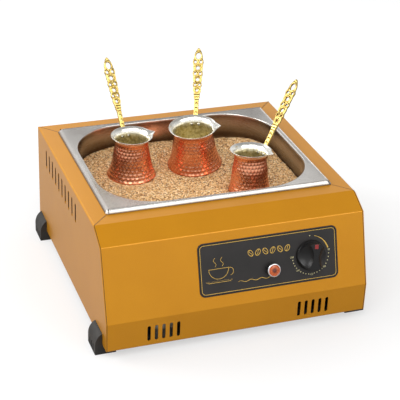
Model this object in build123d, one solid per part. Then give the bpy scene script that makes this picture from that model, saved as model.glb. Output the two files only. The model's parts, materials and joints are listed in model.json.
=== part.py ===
"""Sand-bed coffee maker: a heated pan of sand in a folded sheet housing, with three copper pots.

Millimetres, +Z up. X runs across the front and Y runs from the front to the back. The model is
laid out with Y = 0 on the face of the front apron and Z = 0 on the table, and is moved along Y at
the end so that the origin is the bottom centre of the whole machine.
"""
import os
from math import asin, atan2, cos, degrees, radians, sin

from build123d import *

# ---------------------------------------------------------------- driving dimensions
# Housing
body_width = 372.0
body_depth = 376.5
body_height = 156.5
foot_height = 14.0
sheet = 1.2
bend_radius = 2.4
apron_height = 41.8
lean_run = 30.8            # how far the control panel leans back
chamfer_run = 31.7
chamfer_drop = 16.3
return_flange = 16.0
seam_gap = 0.3
contact_inset = 0.2        # keeps loose fill off the wall that holds it

# Apron and side slots
apron_slot_count = 5
apron_slot_pitch = 10.2
apron_slot_width = 4.6
apron_slot_height = 23.0
apron_slot_centre_x = 107.0
apron_slot_centre_z = 19.2
side_slot_count = 10
side_slot_pitch = 18.8
side_slot_width = 5.5
side_slot_height = 29.5
side_slots_behind_pan = 21.5   # from the pan's centre to the middle of the row
side_slot_centre_z = 126.4

# Pan
pan_side_margin = 23.5     # from the rim to the side of the housing
pan_back_margin = 26.2     # from the rim to the back of the housing
pan_height = 100.0
pan_wall = 1.0
pan_rim_height = 6.0
pan_rim_flare = 2.0
pan_rim_corner = 4.0
pan_border_side = 11.0     # flat border beside the mouth, with the sloped edge
pan_border_front = 9.0     # flat border in front of the mouth, with the sloped edge
pan_mouth_corner = 78.0
pan_floor_corner = 16.0
pan_taper = 3.5
pan_setback = 85.3         # from the apron to the front of the rim
pan_hole_clearance = 2.5
sand_below_rim = 35.5

# Feet
foot_length = 35.0
foot_outreach = 10.0
foot_inreach = 19.0
foot_wrap = 18.0
foot_shoulder = 0.6
foot_front_setback = 18.0
foot_back_setback = 10.0
foot_groove_count = 3
foot_groove_width = 3.0
foot_groove_depth = 1.2
foot_groove_height = 12.0
foot_groove_pitch = 8.0
foot_edge_round = 1.5

# Base
base_sheet = 1.0
base_slot_columns = 8
base_slot_rows = 2
base_slot_pitch = 22.0
base_slot_width = 5.0
base_slot_length = 60.0
base_row_pitch = 90.0
screw_radius = 2.0
screw_head_radius = 3.6
screw_head_height = 2.0
screw_length = 9.0
screw_past = 3.0           # beyond the last sheet it passes through

# Corner brackets
bracket_leg = 18.0
bracket_sheet = 1.5
back_bracket_height = 110.0
bracket_gap = 1.0

# Label plate and dial
label_width = 200.0
label_height = 73.0
label_corner = 8.0
label_thickness = 0.8
label_centre_x = 44.0
label_centre_up = 53.5     # up the leaning panel from its lower bend
knob_from_label = 60.3
lamp_from_label_x = 3.1
lamp_from_label_up = -11.3

# Knob and thermostat
knob_radius = 21.0
knob_top_radius = 18.5
knob_skirt_step = 0.8      # from the grip's foot out to the skirt's shoulder
knob_height = 18.0
knob_skirt = 4.0
knob_scoop_radius = 26.0
knob_bar_half = 3.5
knob_scoop_height = 10.0   # scoop centre above the knob's face
knob_cavity_radius = 17.0
knob_cavity_depth = 2.2
knob_boss_radius = 6.5
knob_lift = 0.8            # gap between the label and the knob
knob_rest_turn = 8.0       # clockwise from the off mark
knob_edge_round = 0.8
shaft_radius = 3.0
shaft_flat_share = 0.45    # how much of the radius the flat takes off
shaft_in_knob = 12.0
shaft_in_body = 12.0
shaft_bore_clearance = 0.05
shaft_hole_radius = 5.0
thermostat_width = 34.0
thermostat_tall = 44.0
thermostat_deep = 27.0
thermostat_corner = 4.0
thermostat_screw_pitch = 26.0
tab_width = 6.3
tab_thickness = 0.8
tab_length = 9.0
tab_spacing = 12.0

# Pilot lamp
lamp_shroud_radius = 9.0
lamp_shroud_height = 7.8
lamp_bezel_radius = 9.4
lamp_bezel_height = 2.2
lamp_lens_radius = 6.8
lamp_lens_proud = 0.6      # above the bezel at its middle
lamp_dome_radius = 20.0
lamp_body_radius = 6.0
lamp_body_length = 30.0
lamp_hole_clearance = 0.2
lamp_nut_radius = 9.0
lamp_nut_height = 4.0

# Heater tray and what it holds
tray_clearance = 12.0      # from the pan wall to the tray wall
tray_sheet = 1.0
tray_corner = 24.0
tray_floor_above_base = 16.0
tray_top_gap = 10.0        # from the tray's edge to the housing top
spacer_radius = 5.0
spacer_inset = 40.0
mat_thickness = 20.0
mat_margin = 3.0
reflector_sheet = 0.8
element_radius = 4.2
element_gap = 2.5          # under the pan
element_runs = 6
element_pitch = 34.0
element_from_mouth = 28.5  # from the ends of the runs to the line of the pan's mouth
element_tail = 26.0
support_count = 3
support_thickness = 2.0
support_pitch = 70.0
support_side = 6.0
element_nut_radius = 8.0
element_nut_height = 5.0

# Thermostat bulb and capillary
bulb_radius = 3.2
bulb_length = 90.0
bulb_y_from_front_wall = 26.0
capillary_radius = 1.0
capillary_bend = 14.0
clip_width = 8.0
clip_along = 18.0           # from the front end of the bulb
clip_wall = 0.8

# Terminal block, earth stud and cable gland
block_width = 34.0
block_depth = 24.0
block_height = 20.0
block_x = -95.0
block_y = 42.0
block_screw_radius = 2.2
block_screw_depth = 6.0
block_corner = 2.0
block_poles = 3
block_pole_pitch = 10.0
stud_length = 14.0
stud_nut_radius = 4.6
stud_nut_height = 4.0
stud_from_block = 36.0
gland_x = -120.0
gland_height = 34.0        # above the housing's lower edge
gland_hole_radius = 8.0
gland_flange_radius = 12.0
gland_flange = 3.0
gland_nose = 6.0
gland_nose_radius = 8.4
gland_inside = 10.0
gland_bore_radius = 4.0
gland_nut_radius = 12.0
gland_nut_height = 5.0
gland_nose_chamfer = 1.5

# Pots
pot_wall = 1.2
pot_pocket_gap = 0.4
pot_neck_share = 0.915     # height of the neck as a share of the pot
pot_flare_power = 2.4      # how quickly the flare of the base dies out upward
spout_reach = 6.0
spout_half_angle = 18.0
# Each pot stands at x and y from the pan's centre, sunk a little into the sand
pot_1_x = -77.6
pot_1_y = 33.5
pot_1_rim_radius = 29.8
pot_1_neck_radius = 25.1
pot_1_base_radius = 35.6
pot_1_height = 62.5
pot_1_sink = 3.0
pot_2_x = 23.9
pot_2_y = 46.4
pot_2_rim_radius = 35.1
pot_2_neck_radius = 30.0
pot_2_base_radius = 40.4
pot_2_height = 62.2
pot_2_sink = 5.0
pot_3_x = 70.5
pot_3_y = -56.2
pot_3_rim_radius = 29.3
pot_3_neck_radius = 24.3
pot_3_base_radius = 30.2
pot_3_height = 61.5
pot_3_sink = 4.0
# Degrees: heading and tilt of the handle, turn of the spout from the handle, lean and its heading
pot_1_angles = dict(handle=96.7, tilt=36.7, spout=-92.0, lean=1.0, lean_to=-112.0)
pot_2_angles = dict(handle=65.0, tilt=45.5, spout=-84.0, lean=6.7, lean_to=-149.0)
pot_3_angles = dict(handle=26.4, tilt=36.0, spout=-72.0, lean=4.3, lean_to=80.5)

# Handles
handle_length = 116.0      # from the middle of the pad to the tip
handle_thickness = 3.4
handle_stem_width = 6.6
handle_pad_width = 19.0
handle_pad_height = 15.0
handle_pad_thickness = 2.4
handle_pad_swell = 1.5
handle_pad_below_rim = 4.0
rivet_radius = 1.4
rivet_head_radius = 2.4
rivet_head_height = 1.2
rivet_offset = 6.2         # from the middle of the stem, sideways
pot_waist_dip = 1.4        # how much the wall at the rivets lies inside the line of the neck
handle_pad_corner = 3.0
# distance from the tip, and half width there, of the scalloped openwork outline
handle_outline = [(0.0, 0.8), (4.0, 3.3), (9.0, 5.5), (13.5, 6.4), (17.0, 6.8), (21.7, 8.1),
                  (26.5, 7.0), (31.2, 7.2), (35.7, 6.7), (40.2, 7.6), (44.7, 6.4), (49.2, 6.8),
                  (53.3, 5.9), (57.4, 6.8), (61.7, 5.5), (66.0, 6.0), (70.5, 4.7), (75.0, 4.4),
                  (80.0, 3.3)]
# distance from the tip, hole radius, and half the spacing of a pair (0 for a single hole)
handle_holes = [(21.7, 2.2, 4.1), (31.2, 3.0, 0.0), (40.2, 2.0, 3.8), (49.2, 2.7, 0.0),
                (57.4, 1.8, 3.4), (66.0, 2.1, 0.0)]
handle_eye = (12.4, 5.2, 3.9)   # distance from the tip, half length and half width

# ---------------------------------------------------------------- places worked out from the sizes
floor_z = foot_height
top_z = foot_height + body_height
panel_bottom_z = foot_height + apron_height
panel_top_z = top_z - chamfer_drop
edge_y = lean_run + chamfer_run
inner_half = body_width / 2 - sheet
lean_angle = degrees(atan2(lean_run, panel_top_z - panel_bottom_z))
outward = Vector(0, -cos(radians(lean_angle)), sin(radians(lean_angle)))
panel_plane = Plane(origin=(0, 0, panel_bottom_z), x_dir=(1, 0, 0), z_dir=outward)

pan_width = body_width - 2 * pan_side_margin
pan_depth = body_depth - pan_setback - pan_back_margin
pan_mouth_width = pan_width - 2 * pan_border_side
pan_mouth_depth = pan_depth - 2 * pan_border_front
pan_centre_y = pan_setback + pan_depth / 2
side_slot_centre_y = pan_centre_y + side_slots_behind_pan
rim_top_z = top_z + pan_rim_height
hole_width = pan_mouth_width + 2 * (pan_wall + pan_hole_clearance)
hole_depth = pan_mouth_depth + 2 * (pan_wall + pan_hole_clearance)
hole_front_y = pan_centre_y - hole_depth / 2
hole_back_y = pan_centre_y + hole_depth / 2
pan_bottom_z = rim_top_z - pan_height
sand_z = rim_top_z - sand_below_rim

base_z = floor_z + sheet
tray_z = base_z + base_sheet + tray_floor_above_base
tray_width = pan_mouth_width + 2 * (pan_wall + tray_clearance + tray_sheet)
tray_depth = pan_mouth_depth + 2 * (pan_wall + tray_clearance + tray_sheet)
tray_top_z = top_z - tray_top_gap
mat_z = tray_z + tray_sheet
reflector_z = mat_z + mat_thickness
element_z = pan_bottom_z - element_gap - element_radius
element_run_length = pan_mouth_depth - 2 * element_from_mouth

knob_x = label_centre_x + knob_from_label
lamp_x = label_centre_x + lamp_from_label_x
lamp_up = label_centre_up + lamp_from_label_up

pots = [
    dict(x=pot_1_x, y=pan_centre_y + pot_1_y, rim=pot_1_rim_radius, neck=pot_1_neck_radius,
         base=pot_1_base_radius, height=pot_1_height, sink=pot_1_sink, **pot_1_angles),
    dict(x=pot_2_x, y=pan_centre_y + pot_2_y, rim=pot_2_rim_radius, neck=pot_2_neck_radius,
         base=pot_2_base_radius, height=pot_2_height, sink=pot_2_sink, **pot_2_angles),
    dict(x=pot_3_x, y=pan_centre_y + pot_3_y, rim=pot_3_rim_radius, neck=pot_3_neck_radius,
         base=pot_3_base_radius, height=pot_3_height, sink=pot_3_sink, **pot_3_angles),
]


# ---------------------------------------------------------------- helpers
def block(low, high):
    """A box between two opposite corners."""
    size = [b - a for a, b in zip(low, high)]
    middle = [(a + b) / 2 for a, b in zip(low, high)]
    return Pos(*middle) * Box(*size)


def folded(points, length, plane):
    """Sheet bent along a path of points, with the wall to the left of the path, centred on the plane."""
    path = FilletPolyline(*points, radius=bend_radius)
    face = make_face(offset(path, amount=sheet, side=Side.LEFT))
    return extrude(plane * face, amount=length / 2, both=True)


def prism(points, plane, low, high):
    """A polygon drawn on a plane and extruded between two offsets from it."""
    face = make_face(Polyline(*points, close=True))
    return extrude(plane.offset(low) * face, amount=high - low)


def on_panel(x, up, out=0.0):
    """The control panel's plane, moved to a point on it and out from its surface."""
    return Plane(origin=panel_plane.from_local_coords((x, up, out)), x_dir=(1, 0, 0), z_dir=outward)


def disc(plane, radius, height):
    """A cylinder that stands on a plane."""
    return extrude(plane * Circle(radius), amount=height)


def hexagon(plane, radius, height):
    """A hexagonal prism that stands on a plane."""
    return extrude(plane * RegularPolygon(radius, 6), amount=height)


def group(pieces):
    """Several separate solids kept as one node."""
    solids = [solid for piece in pieces for solid in piece.solids()]
    return Compound(solids)


def outermost_edges(solid, plane):
    """The edges of the flat face that lies furthest along the plane's normal."""
    return solid.faces().sort_by(Axis(plane.origin, plane.z_dir))[-1].edges()


def screw(point, direction, length):
    """A pan-head screw: the head stands out along the direction and the shank runs the other way."""
    plane = Plane(origin=point, z_dir=direction)
    dome = disc(plane, screw_head_radius, screw_head_height)
    dome = chamfer(outermost_edges(dome, plane), 0.4 * screw_head_height)
    return dome + disc(plane.offset(-length), screw_radius, length)


# ---------------------------------------------------------------- housing
def mitre_wedges(side):
    """The two prisms outside the front and back mitre lines, at the right (+1) or left (-1) top corners."""
    outer = side * body_width / 2
    inner = side * hole_width / 2
    past = side * (body_width / 2 + sheet)
    wedges = []
    for edge, hole in ((edge_y, hole_front_y), (body_depth, hole_back_y)):
        points = [(outer - side * seam_gap, edge), (inner - side * seam_gap, hole), (past, hole),
                  (past, edge)]
        wedges.append(prism(points, Plane.XY, top_z - bend_radius - sheet, top_z + sheet))
    return wedges


def make_front_panel():
    """One sheet: top strip, chamfer, leaning control panel, apron with its slots, and the lower flange."""
    path = [(hole_front_y, top_z), (edge_y, top_z), (lean_run, panel_top_z), (0, panel_bottom_z),
            (0, floor_z), (return_flange, floor_z)]
    panel = folded(path, 2 * (inner_half - seam_gap), Plane.YZ)
    apron_slot = SlotOverall(apron_slot_height, apron_slot_width, rotation=90)
    for side in (-1, 1):
        panel -= mitre_wedges(side)[0]
        for i in range(apron_slot_count):
            x = side * apron_slot_centre_x + (i - (apron_slot_count - 1) / 2) * apron_slot_pitch
            slot = Pos(x, floor_z + apron_slot_centre_z) * apron_slot
            panel -= extrude(Plane.XZ * slot, amount=2 * bend_radius, both=True)
    for place, radius in panel_holes():
        panel -= disc(place.offset(-2 * sheet), radius, 4 * sheet)
    for x, y in base_screw_places():
        panel -= disc(Plane(origin=(x, y, floor_z - 1)), screw_radius, sheet + 2)
    return panel


def panel_holes():
    """Where the control panel and its label are pierced: the place on the panel, and the hole's radius."""
    holes = [(on_panel(knob_x, label_centre_up), shaft_hole_radius),
             (on_panel(lamp_x, lamp_up), lamp_body_radius + lamp_hole_clearance)]
    for side in (-1, 1):
        holes.append((on_panel(knob_x + side * thermostat_screw_pitch / 2, label_centre_up), screw_radius))
    return holes


def make_side_panel():
    """The right side: a channel cut to the housing's profile, with mitred top flange and vent slots."""
    path = [(body_width / 2 - return_flange, floor_z), (body_width / 2, floor_z), (body_width / 2, top_z),
            (hole_width / 2, top_z)]
    side = folded(path, body_depth, Plane.XZ.offset(-body_depth / 2))
    outline = [(0, floor_z), (0, panel_bottom_z), (lean_run, panel_top_z), (edge_y, top_z),
               (body_depth, top_z), (body_depth, floor_z)]
    side &= prism(outline, Plane.YZ, 0, body_width)
    reach = hole_width / 2 - sheet
    past = body_width / 2 + sheet
    front_end, back_end = -sheet, body_depth + sheet
    under, over = top_z - bend_radius - sheet, top_z + sheet
    inside = block((0, front_end, under), (inner_half, back_end, over))
    for edge, hole, away in ((edge_y, hole_front_y, front_end), (body_depth, hole_back_y, back_end)):
        points = [(body_width / 2, edge), (hole_width / 2, hole), (reach, hole), (reach, away),
                  (past, away), (past, edge)]
        side -= prism(points, Plane.XY, under, over) & inside
    corner = return_flange + seam_gap
    for low, high in ((front_end, corner), (body_depth - corner, back_end)):
        side -= block((0, low, floor_z - sheet), (inner_half, high, floor_z + bend_radius))
    side_slot = SlotOverall(side_slot_height, side_slot_width, rotation=90)
    for i in range(side_slot_count):
        y = side_slot_centre_y + (i - (side_slot_count - 1) / 2) * side_slot_pitch
        slot = Pos(y, floor_z + side_slot_centre_z) * side_slot
        side -= extrude(Plane.YZ.offset(inner_half - sheet) * slot, amount=3 * sheet)
    for x, y in base_screw_places() + foot_screw_places():
        side -= disc(Plane(origin=(x, y, floor_z - 1)), screw_radius, sheet + 2)
    return side


def make_back_panel():
    """The back sheet: top strip, upright wall with the cable inlet, and the lower flange."""
    path = [(body_depth - return_flange, floor_z), (body_depth, floor_z), (body_depth, top_z),
            (hole_back_y, top_z)]
    panel = folded(path, 2 * (inner_half - seam_gap), Plane.YZ)
    for side in (-1, 1):
        panel -= mitre_wedges(side)[1]
    panel -= disc(gland_plane().offset(-2 * sheet), gland_hole_radius, 3 * sheet)
    for x, y in base_screw_places():
        panel -= disc(Plane(origin=(x, y, floor_z - 1)), screw_radius, sheet + 2)
    return panel


def base_screw_places():
    """Screws that hold the base to the flanges: three along the front and the back, one at each side."""
    inset = return_flange / 2
    along = body_width / 2 - foot_inreach - 2 * return_flange
    places = [(x, y) for x in (-along, 0, along) for y in (inset, body_depth - inset)]
    return places + [(side * (body_width / 2 - inset), body_depth / 2) for side in (-1, 1)]


def foot_places():
    """The near and far end of each pair of feet along Y."""
    return [foot_front_setback, body_depth - foot_back_setback - foot_length]


def foot_screw_places():
    """One screw up through the middle of each foot."""
    x = body_width / 2 - return_flange / 2
    return [(side * x, y + foot_length / 2) for side in (-1, 1) for y in foot_places()]


def spacer_places():
    """The four posts that carry the heater tray."""
    across = tray_width / 2 - spacer_inset
    along = tray_depth / 2 - spacer_inset
    return [(x, pan_centre_y + y) for x in (-across, across) for y in (-along, along)]


def make_base_plate():
    """The bottom sheet, laid on the flanges, with rows of vents."""
    edge = bend_radius + seam_gap
    half = body_width / 2 - edge
    plate = block((-half, edge, base_z), (half, body_depth - edge, base_z + base_sheet))
    for row in range(base_slot_rows):
        y = body_depth / 2 + (row - (base_slot_rows - 1) / 2) * base_row_pitch
        for column in range(base_slot_columns):
            x = (column - (base_slot_columns - 1) / 2) * base_slot_pitch
            slot = Pos(x, y) * SlotOverall(base_slot_length, base_slot_width, rotation=90)
            plate -= extrude(Plane.XY.offset(base_z - sheet) * slot, amount=3 * sheet)
    screws = base_screw_places() + foot_screw_places() + spacer_places()
    for x, y in screws + block_screw_places() + [stud_place()]:
        plate -= disc(Plane(origin=(x, y, base_z - sheet)), screw_radius, 3 * sheet)
    return plate


def make_bracket(side, low_y, inward, low_z, high_z):
    """An angle in a corner of the housing, against a side panel and the panel at low_y."""
    wall = side * inner_half
    angle = None
    for reach_x, reach_y in ((bracket_leg, bracket_sheet), (bracket_sheet, bracket_leg)):
        x_ends = sorted((wall, wall - side * reach_x))
        y_ends = sorted((low_y, low_y + inward * reach_y))
        leg = block((x_ends[0], y_ends[0], low_z), (x_ends[1], y_ends[1], high_z))
        angle = leg if angle is None else angle + leg
    return angle


def make_foot(side, y):
    """A moulded foot: a block under the corner with a shoulder that wraps up the outside of the panel."""
    wall = body_width / 2
    outside = wall + foot_outreach
    inside = wall - foot_inreach
    top = floor_z + foot_wrap
    shoulder = Bezier((outside, floor_z), (outside, floor_z + foot_shoulder * foot_wrap),
                      (wall + 0.25 * foot_outreach, top), (wall, top))
    rest = Polyline((wall, top), (wall, floor_z), (inside, floor_z), (inside, 0), (outside, 0),
                    (outside, floor_z))
    foot = extrude(Plane.XZ.offset(-y) * make_face(shoulder + rest), amount=-foot_length)
    groove = SlotOverall(foot_groove_height, foot_groove_width, rotation=90)
    for i in range(foot_groove_count):
        groove_y = y + foot_length / 2 + (i - (foot_groove_count - 1) / 2) * foot_groove_pitch
        slot = Pos(groove_y, foot_height / 2) * groove
        foot -= extrude(Plane.YZ.offset(outside - foot_groove_depth) * slot, amount=2 * foot_groove_depth)
    centre = (wall - return_flange / 2, y + foot_length / 2)
    foot -= disc(Plane(origin=(*centre, -1)), screw_head_radius + foot_edge_round, foot_height / 2 + 1)
    foot -= disc(Plane(origin=(*centre, 0)), screw_radius, foot_height + 1)
    return foot if side > 0 else mirror(foot, about=Plane.YZ)


# ---------------------------------------------------------------- controls
def make_label_plate():
    """The plate on the leaning panel that carries the dial and the lamp."""
    outline = RectangleRounded(label_width, label_height, label_corner)
    plate = extrude(on_panel(label_centre_x, label_centre_up) * outline, amount=label_thickness)
    for place, radius in panel_holes():
        plate -= disc(place.offset(-sheet), radius, 3 * sheet)
    return plate


def knob_plane():
    """Under the knob, turned to its rest position."""
    return on_panel(knob_x, label_centre_up, label_thickness + knob_lift) * Rotation(0, 0, -knob_rest_turn)


def make_knob():
    """A skirted knob: two round scoops leave a waisted grip bar, and a hollow below clears the screws."""
    plane = knob_plane()
    shoulder = knob_top_radius + knob_skirt_step
    section = Polyline((0, 0), (knob_radius, 0), (knob_radius, 0.6 * knob_skirt),
                       (knob_radius - knob_skirt_step, knob_skirt), (shoulder, knob_skirt),
                       (knob_top_radius, knob_height), (0, knob_height), close=True)
    body = revolve(Plane.XZ * make_face(section), Axis.Z)
    body = fillet(body.faces().sort_by(Axis.Z)[-1].edges(), knob_edge_round)
    rise = knob_height + knob_scoop_height
    reach = knob_bar_half + (knob_scoop_radius ** 2 - knob_scoop_height ** 2) ** 0.5
    for side in (-1, 1):
        body -= Pos(side * reach, 0, rise) * Sphere(knob_scoop_radius)
    hollow = Cylinder(knob_cavity_radius, 2 * knob_cavity_depth)
    body -= hollow - Cylinder(knob_boss_radius, 2 * knob_cavity_depth)
    body -= shaft_blank(shaft_in_knob)
    return plane * body


def shaft_blank(length):
    """The D-shaped end of the shaft, from the knob's base upward."""
    keep = Pos(0, -shaft_flat_share * shaft_radius, 0) * Box(2 * shaft_radius, 2 * shaft_radius, length)
    return Pos(0, 0, length / 2) * (Cylinder(shaft_radius, length) & keep)


def make_shaft():
    """The thermostat's spindle: round in its bush, D-shaped in the knob."""
    below = knob_lift + label_thickness + sheet + shaft_in_body
    round_part = disc(Plane.XY.offset(-below), shaft_radius, below)
    return knob_plane() * (round_part + shaft_blank(shaft_in_knob))


def make_thermostat():
    """The thermostat's case, flat against the back of the panel, with the bush that the shaft turns in."""
    plane = on_panel(knob_x, label_centre_up, -sheet)
    case = Pos(0, 0, -thermostat_deep / 2) * Box(thermostat_width, thermostat_tall, thermostat_deep)
    case = fillet(case.edges().filter_by(Axis.Z), thermostat_corner)
    bore = shaft_radius + shaft_bore_clearance
    case -= disc(Plane.XY.offset(-shaft_in_body - 0.5), bore, shaft_in_body + 1)
    for side in (-1, 1):
        reach = screw_length - sheet - label_thickness
        case -= disc(Plane((side * thermostat_screw_pitch / 2, 0, -reach)), screw_radius, reach + 1)
    return plane * case


def make_tabs():
    """Two blade terminals on the back of the thermostat."""
    plane = on_panel(knob_x, label_centre_up, -sheet - thermostat_deep)
    blade = Pos(0, 0, -tab_length / 2) * Box(tab_thickness, tab_width, tab_length)
    return group([plane * Pos(side * tab_spacing / 2, tab_width, 0) * blade for side in (-1, 1)])


def make_thermostat_screws():
    """Two screws from the front, under the knob."""
    half = thermostat_screw_pitch / 2
    places = [on_panel(x, label_centre_up, label_thickness) for x in (knob_x - half, knob_x + half)]
    return group([screw(place.origin, outward, screw_length) for place in places])


def make_shroud():
    """The lamp's round housing in front of the plate."""
    tube = Cylinder(lamp_shroud_radius, lamp_shroud_height) - Cylinder(lamp_lens_radius, lamp_shroud_height)
    return on_panel(lamp_x, lamp_up, label_thickness + lamp_shroud_height / 2) * tube


def make_bezel():
    """The lamp's bright ring, with a rounded face, on the front of the shroud."""
    ring = disc(Plane.XY, lamp_bezel_radius, lamp_bezel_height)
    ring = fillet(ring.faces().sort_by(Axis.Z)[-1].edges(), 0.7 * lamp_bezel_height)
    ring -= Cylinder(lamp_lens_radius, 4 * lamp_bezel_height)
    return on_panel(lamp_x, lamp_up, label_thickness + lamp_shroud_height) * ring


def make_lens():
    """The lamp's lens: a cap that fills the shroud and ends in a domed face."""
    height = lamp_shroud_height + lamp_bezel_height + lamp_lens_proud
    lens = disc(Plane.XY, lamp_lens_radius, height)
    dome = Pos(0, 0, height - lamp_dome_radius) * Sphere(lamp_dome_radius)
    return on_panel(lamp_x, lamp_up, label_thickness) * (lens & dome)


def make_lamp_body():
    """The neon lamp's tube through the panel, with two tabs behind."""
    plane = on_panel(lamp_x, lamp_up, label_thickness)
    body = disc(Plane.XY.offset(-lamp_body_length), lamp_body_radius, lamp_body_length)
    for side in (-1, 1):
        body += Pos(side * lamp_body_radius / 2, 0, -lamp_body_length - tab_length / 2) * Box(
            tab_thickness, tab_width * 0.75, tab_length)
    return plane * body


def make_lamp_nut():
    """The hexagon nut that holds the lamp from behind."""
    plane = on_panel(lamp_x, lamp_up, -sheet - lamp_nut_height)
    nut = hexagon(plane, lamp_nut_radius, lamp_nut_height)
    return nut - disc(plane.offset(-1), lamp_body_radius, lamp_nut_height + 2)


# ---------------------------------------------------------------- heater
def make_tray():
    """The open box round the pan that keeps the heat in."""
    centre = Pos(0, pan_centre_y, tray_z)
    height = tray_top_z - tray_z
    shell = extrude(RectangleRounded(tray_width, tray_depth, tray_corner), amount=height)
    room = RectangleRounded(tray_width - 2 * tray_sheet, tray_depth - 2 * tray_sheet,
                            tray_corner - tray_sheet)
    shell -= extrude(Plane.XY.offset(tray_sheet) * room, amount=height)
    shell = centre * shell
    for x, y in spacer_places():
        shell -= disc(Plane(origin=(x, y, tray_z - 1)), screw_radius, tray_sheet + 2)
    for x, radius in [(x, element_radius) for x in element_tails()] + [(0, bulb_radius + 1)]:
        front = Plane(origin=(x, tray_front_y() - 1, element_z), z_dir=(0, 1, 0))
        shell -= disc(front, radius, tray_sheet + 2)
    return shell


def tray_front_y():
    """The outer face of the tray's front wall."""
    return pan_centre_y - tray_depth / 2


def element_xs():
    """The element's straight runs across the tray."""
    return [(i - (element_runs - 1) / 2) * element_pitch for i in range(element_runs)]


def element_tails():
    """The two runs whose ends leave through the tray's front wall."""
    return [element_xs()[0], element_xs()[-1]]


def make_element():
    """A tubular element bent to and fro under the pan; both ends leave at the front."""
    near = pan_centre_y - element_run_length / 2
    far = pan_centre_y + element_run_length / 2
    end = tray_front_y() - element_tail
    points = []
    for i, x in enumerate(element_xs()):
        ends = (near, far) if i % 2 == 0 else (far, near)
        points += [(x, y, element_z) for y in ends]
    points[0] = (points[0][0], end, element_z)
    points[-1] = (points[-1][0], end, element_z)
    path = FilletPolyline(*points, radius=element_pitch / 2 - 0.5)
    return sweep(Plane(origin=points[0], z_dir=(0, 1, 0)) * Circle(element_radius), path=path)


def make_supports():
    """Notched strips that stand on the reflector and carry the element."""
    base = reflector_z + reflector_sheet
    half = element_xs()[-1] + element_radius + support_side
    strips = []
    for i in range(support_count):
        y = pan_centre_y + (i - (support_count - 1) / 2) * support_pitch
        near, far = y - support_thickness / 2, y + support_thickness / 2
        strip = block((-half, near, base), (half, far, element_z))
        for x, radius in [(x, element_radius) for x in element_xs()] + [(0, bulb_radius)]:
            notch = Plane(origin=(x, y - support_thickness, element_z), z_dir=(0, 1, 0))
            strip -= disc(notch, radius, 2 * support_thickness)
        strips.append(strip)
    return group(strips)


def make_element_nuts():
    """A brass nut on each end of the element, outside the tray."""
    nuts = []
    for x in element_tails():
        plane = Plane(origin=(x, tray_front_y(), element_z), z_dir=(0, -1, 0))
        nuts.append(hexagon(plane, element_nut_radius, element_nut_height) - disc(
            plane.offset(-1), element_radius, element_nut_height + 2))
    return group(nuts)


def make_mat():
    """The mineral wool slab on the tray's floor."""
    margin = tray_sheet + mat_margin
    face = RectangleRounded(tray_width - 2 * margin, tray_depth - 2 * margin, tray_corner - margin)
    return Pos(0, pan_centre_y, mat_z) * extrude(face, amount=mat_thickness)


def make_reflector():
    """The bright sheet on top of the wool."""
    margin = tray_sheet + mat_margin
    face = RectangleRounded(tray_width - 2 * margin, tray_depth - 2 * margin, tray_corner - margin)
    return Pos(0, pan_centre_y, reflector_z) * extrude(face, amount=reflector_sheet)


def make_spacers():
    """Tubes between the base and the tray."""
    base = base_z + base_sheet
    posts = []
    for x, y in spacer_places():
        plane = Plane(origin=(x, y, base))
        posts.append(disc(plane, spacer_radius, tray_floor_above_base) - disc(
            plane.offset(-1), screw_radius, tray_floor_above_base + 2))
    return group(posts)


def make_tray_screws():
    """Screws from below through the base, the spacers and the tray's floor."""
    length = base_sheet + tray_floor_above_base + tray_sheet
    return group([screw((x, y, base_z), (0, 0, -1), length) for x, y in spacer_places()])


def bulb_start():
    """The front end of the bulb, beneath the middle of the pan."""
    return Vector(0, tray_front_y() + bulb_y_from_front_wall, element_z)


def make_bulb():
    """The thermostat's sensing bulb."""
    return disc(Plane(origin=bulb_start(), z_dir=(0, 1, 0)), bulb_radius, bulb_length)


def make_capillary():
    """The thin tube from the back of the thermostat to the bulb."""
    start = on_panel(knob_x, label_centre_up - thermostat_tall / 4, -sheet - thermostat_deep)
    leave = start.origin - outward * (1.4 * capillary_bend)
    lane_y = tray_front_y() - 1.3 * capillary_bend
    corner = Vector(knob_x - 2.5 * capillary_bend, lane_y, element_z)
    turn = Vector(0, lane_y, element_z)
    path = FilletPolyline(start.origin, leave, corner, turn, bulb_start(),
                          radius=[capillary_bend / 2, capillary_bend / 2, capillary_bend])
    return sweep(Plane(origin=start.origin, z_dir=-outward) * Circle(capillary_radius), path=path)


def make_clip():
    """The saddle that carries the bulb."""
    start = bulb_start()
    base = reflector_z + reflector_sheet
    half = bulb_radius + clip_wall
    middle = start.Y + clip_along
    saddle = block((-half, middle - clip_width / 2, base), (half, middle + clip_width / 2, element_z))
    return saddle - make_bulb()


# ---------------------------------------------------------------- wiring points
def block_screw_places():
    """The two screws that hold the terminal block."""
    return [(block_x + side * (block_width / 2 - 2 * screw_radius), block_y) for side in (-1, 1)]


def stud_place():
    """The earth stud beside the terminal block."""
    return block_x + stud_from_block, block_y


def make_terminal_block():
    """A ceramic block with one wire way for each pole."""
    x, y, base = block_x, block_y, base_z + base_sheet
    body = Pos(x, y, base + block_height / 2) * Box(block_width, block_depth, block_height)
    body = fillet(body.edges().filter_by(Axis.Z), block_corner)
    for i in range(block_poles):
        pole_x = x + (i - (block_poles - 1) / 2) * block_pole_pitch
        way = Plane(origin=(pole_x, y - block_depth, base + block_height * 0.65), z_dir=(0, 1, 0))
        body -= disc(way, block_screw_radius, 2 * block_depth)
    for sx, sy in block_screw_places():
        body -= disc(Plane(origin=(sx, sy, base - 1)), screw_radius, block_screw_depth + 1)
    return body


def make_block_screws():
    """Screws from below into the terminal block."""
    length = base_sheet + block_screw_depth
    return group([screw((x, y, base_z), (0, 0, -1), length) for x, y in block_screw_places()])


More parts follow.
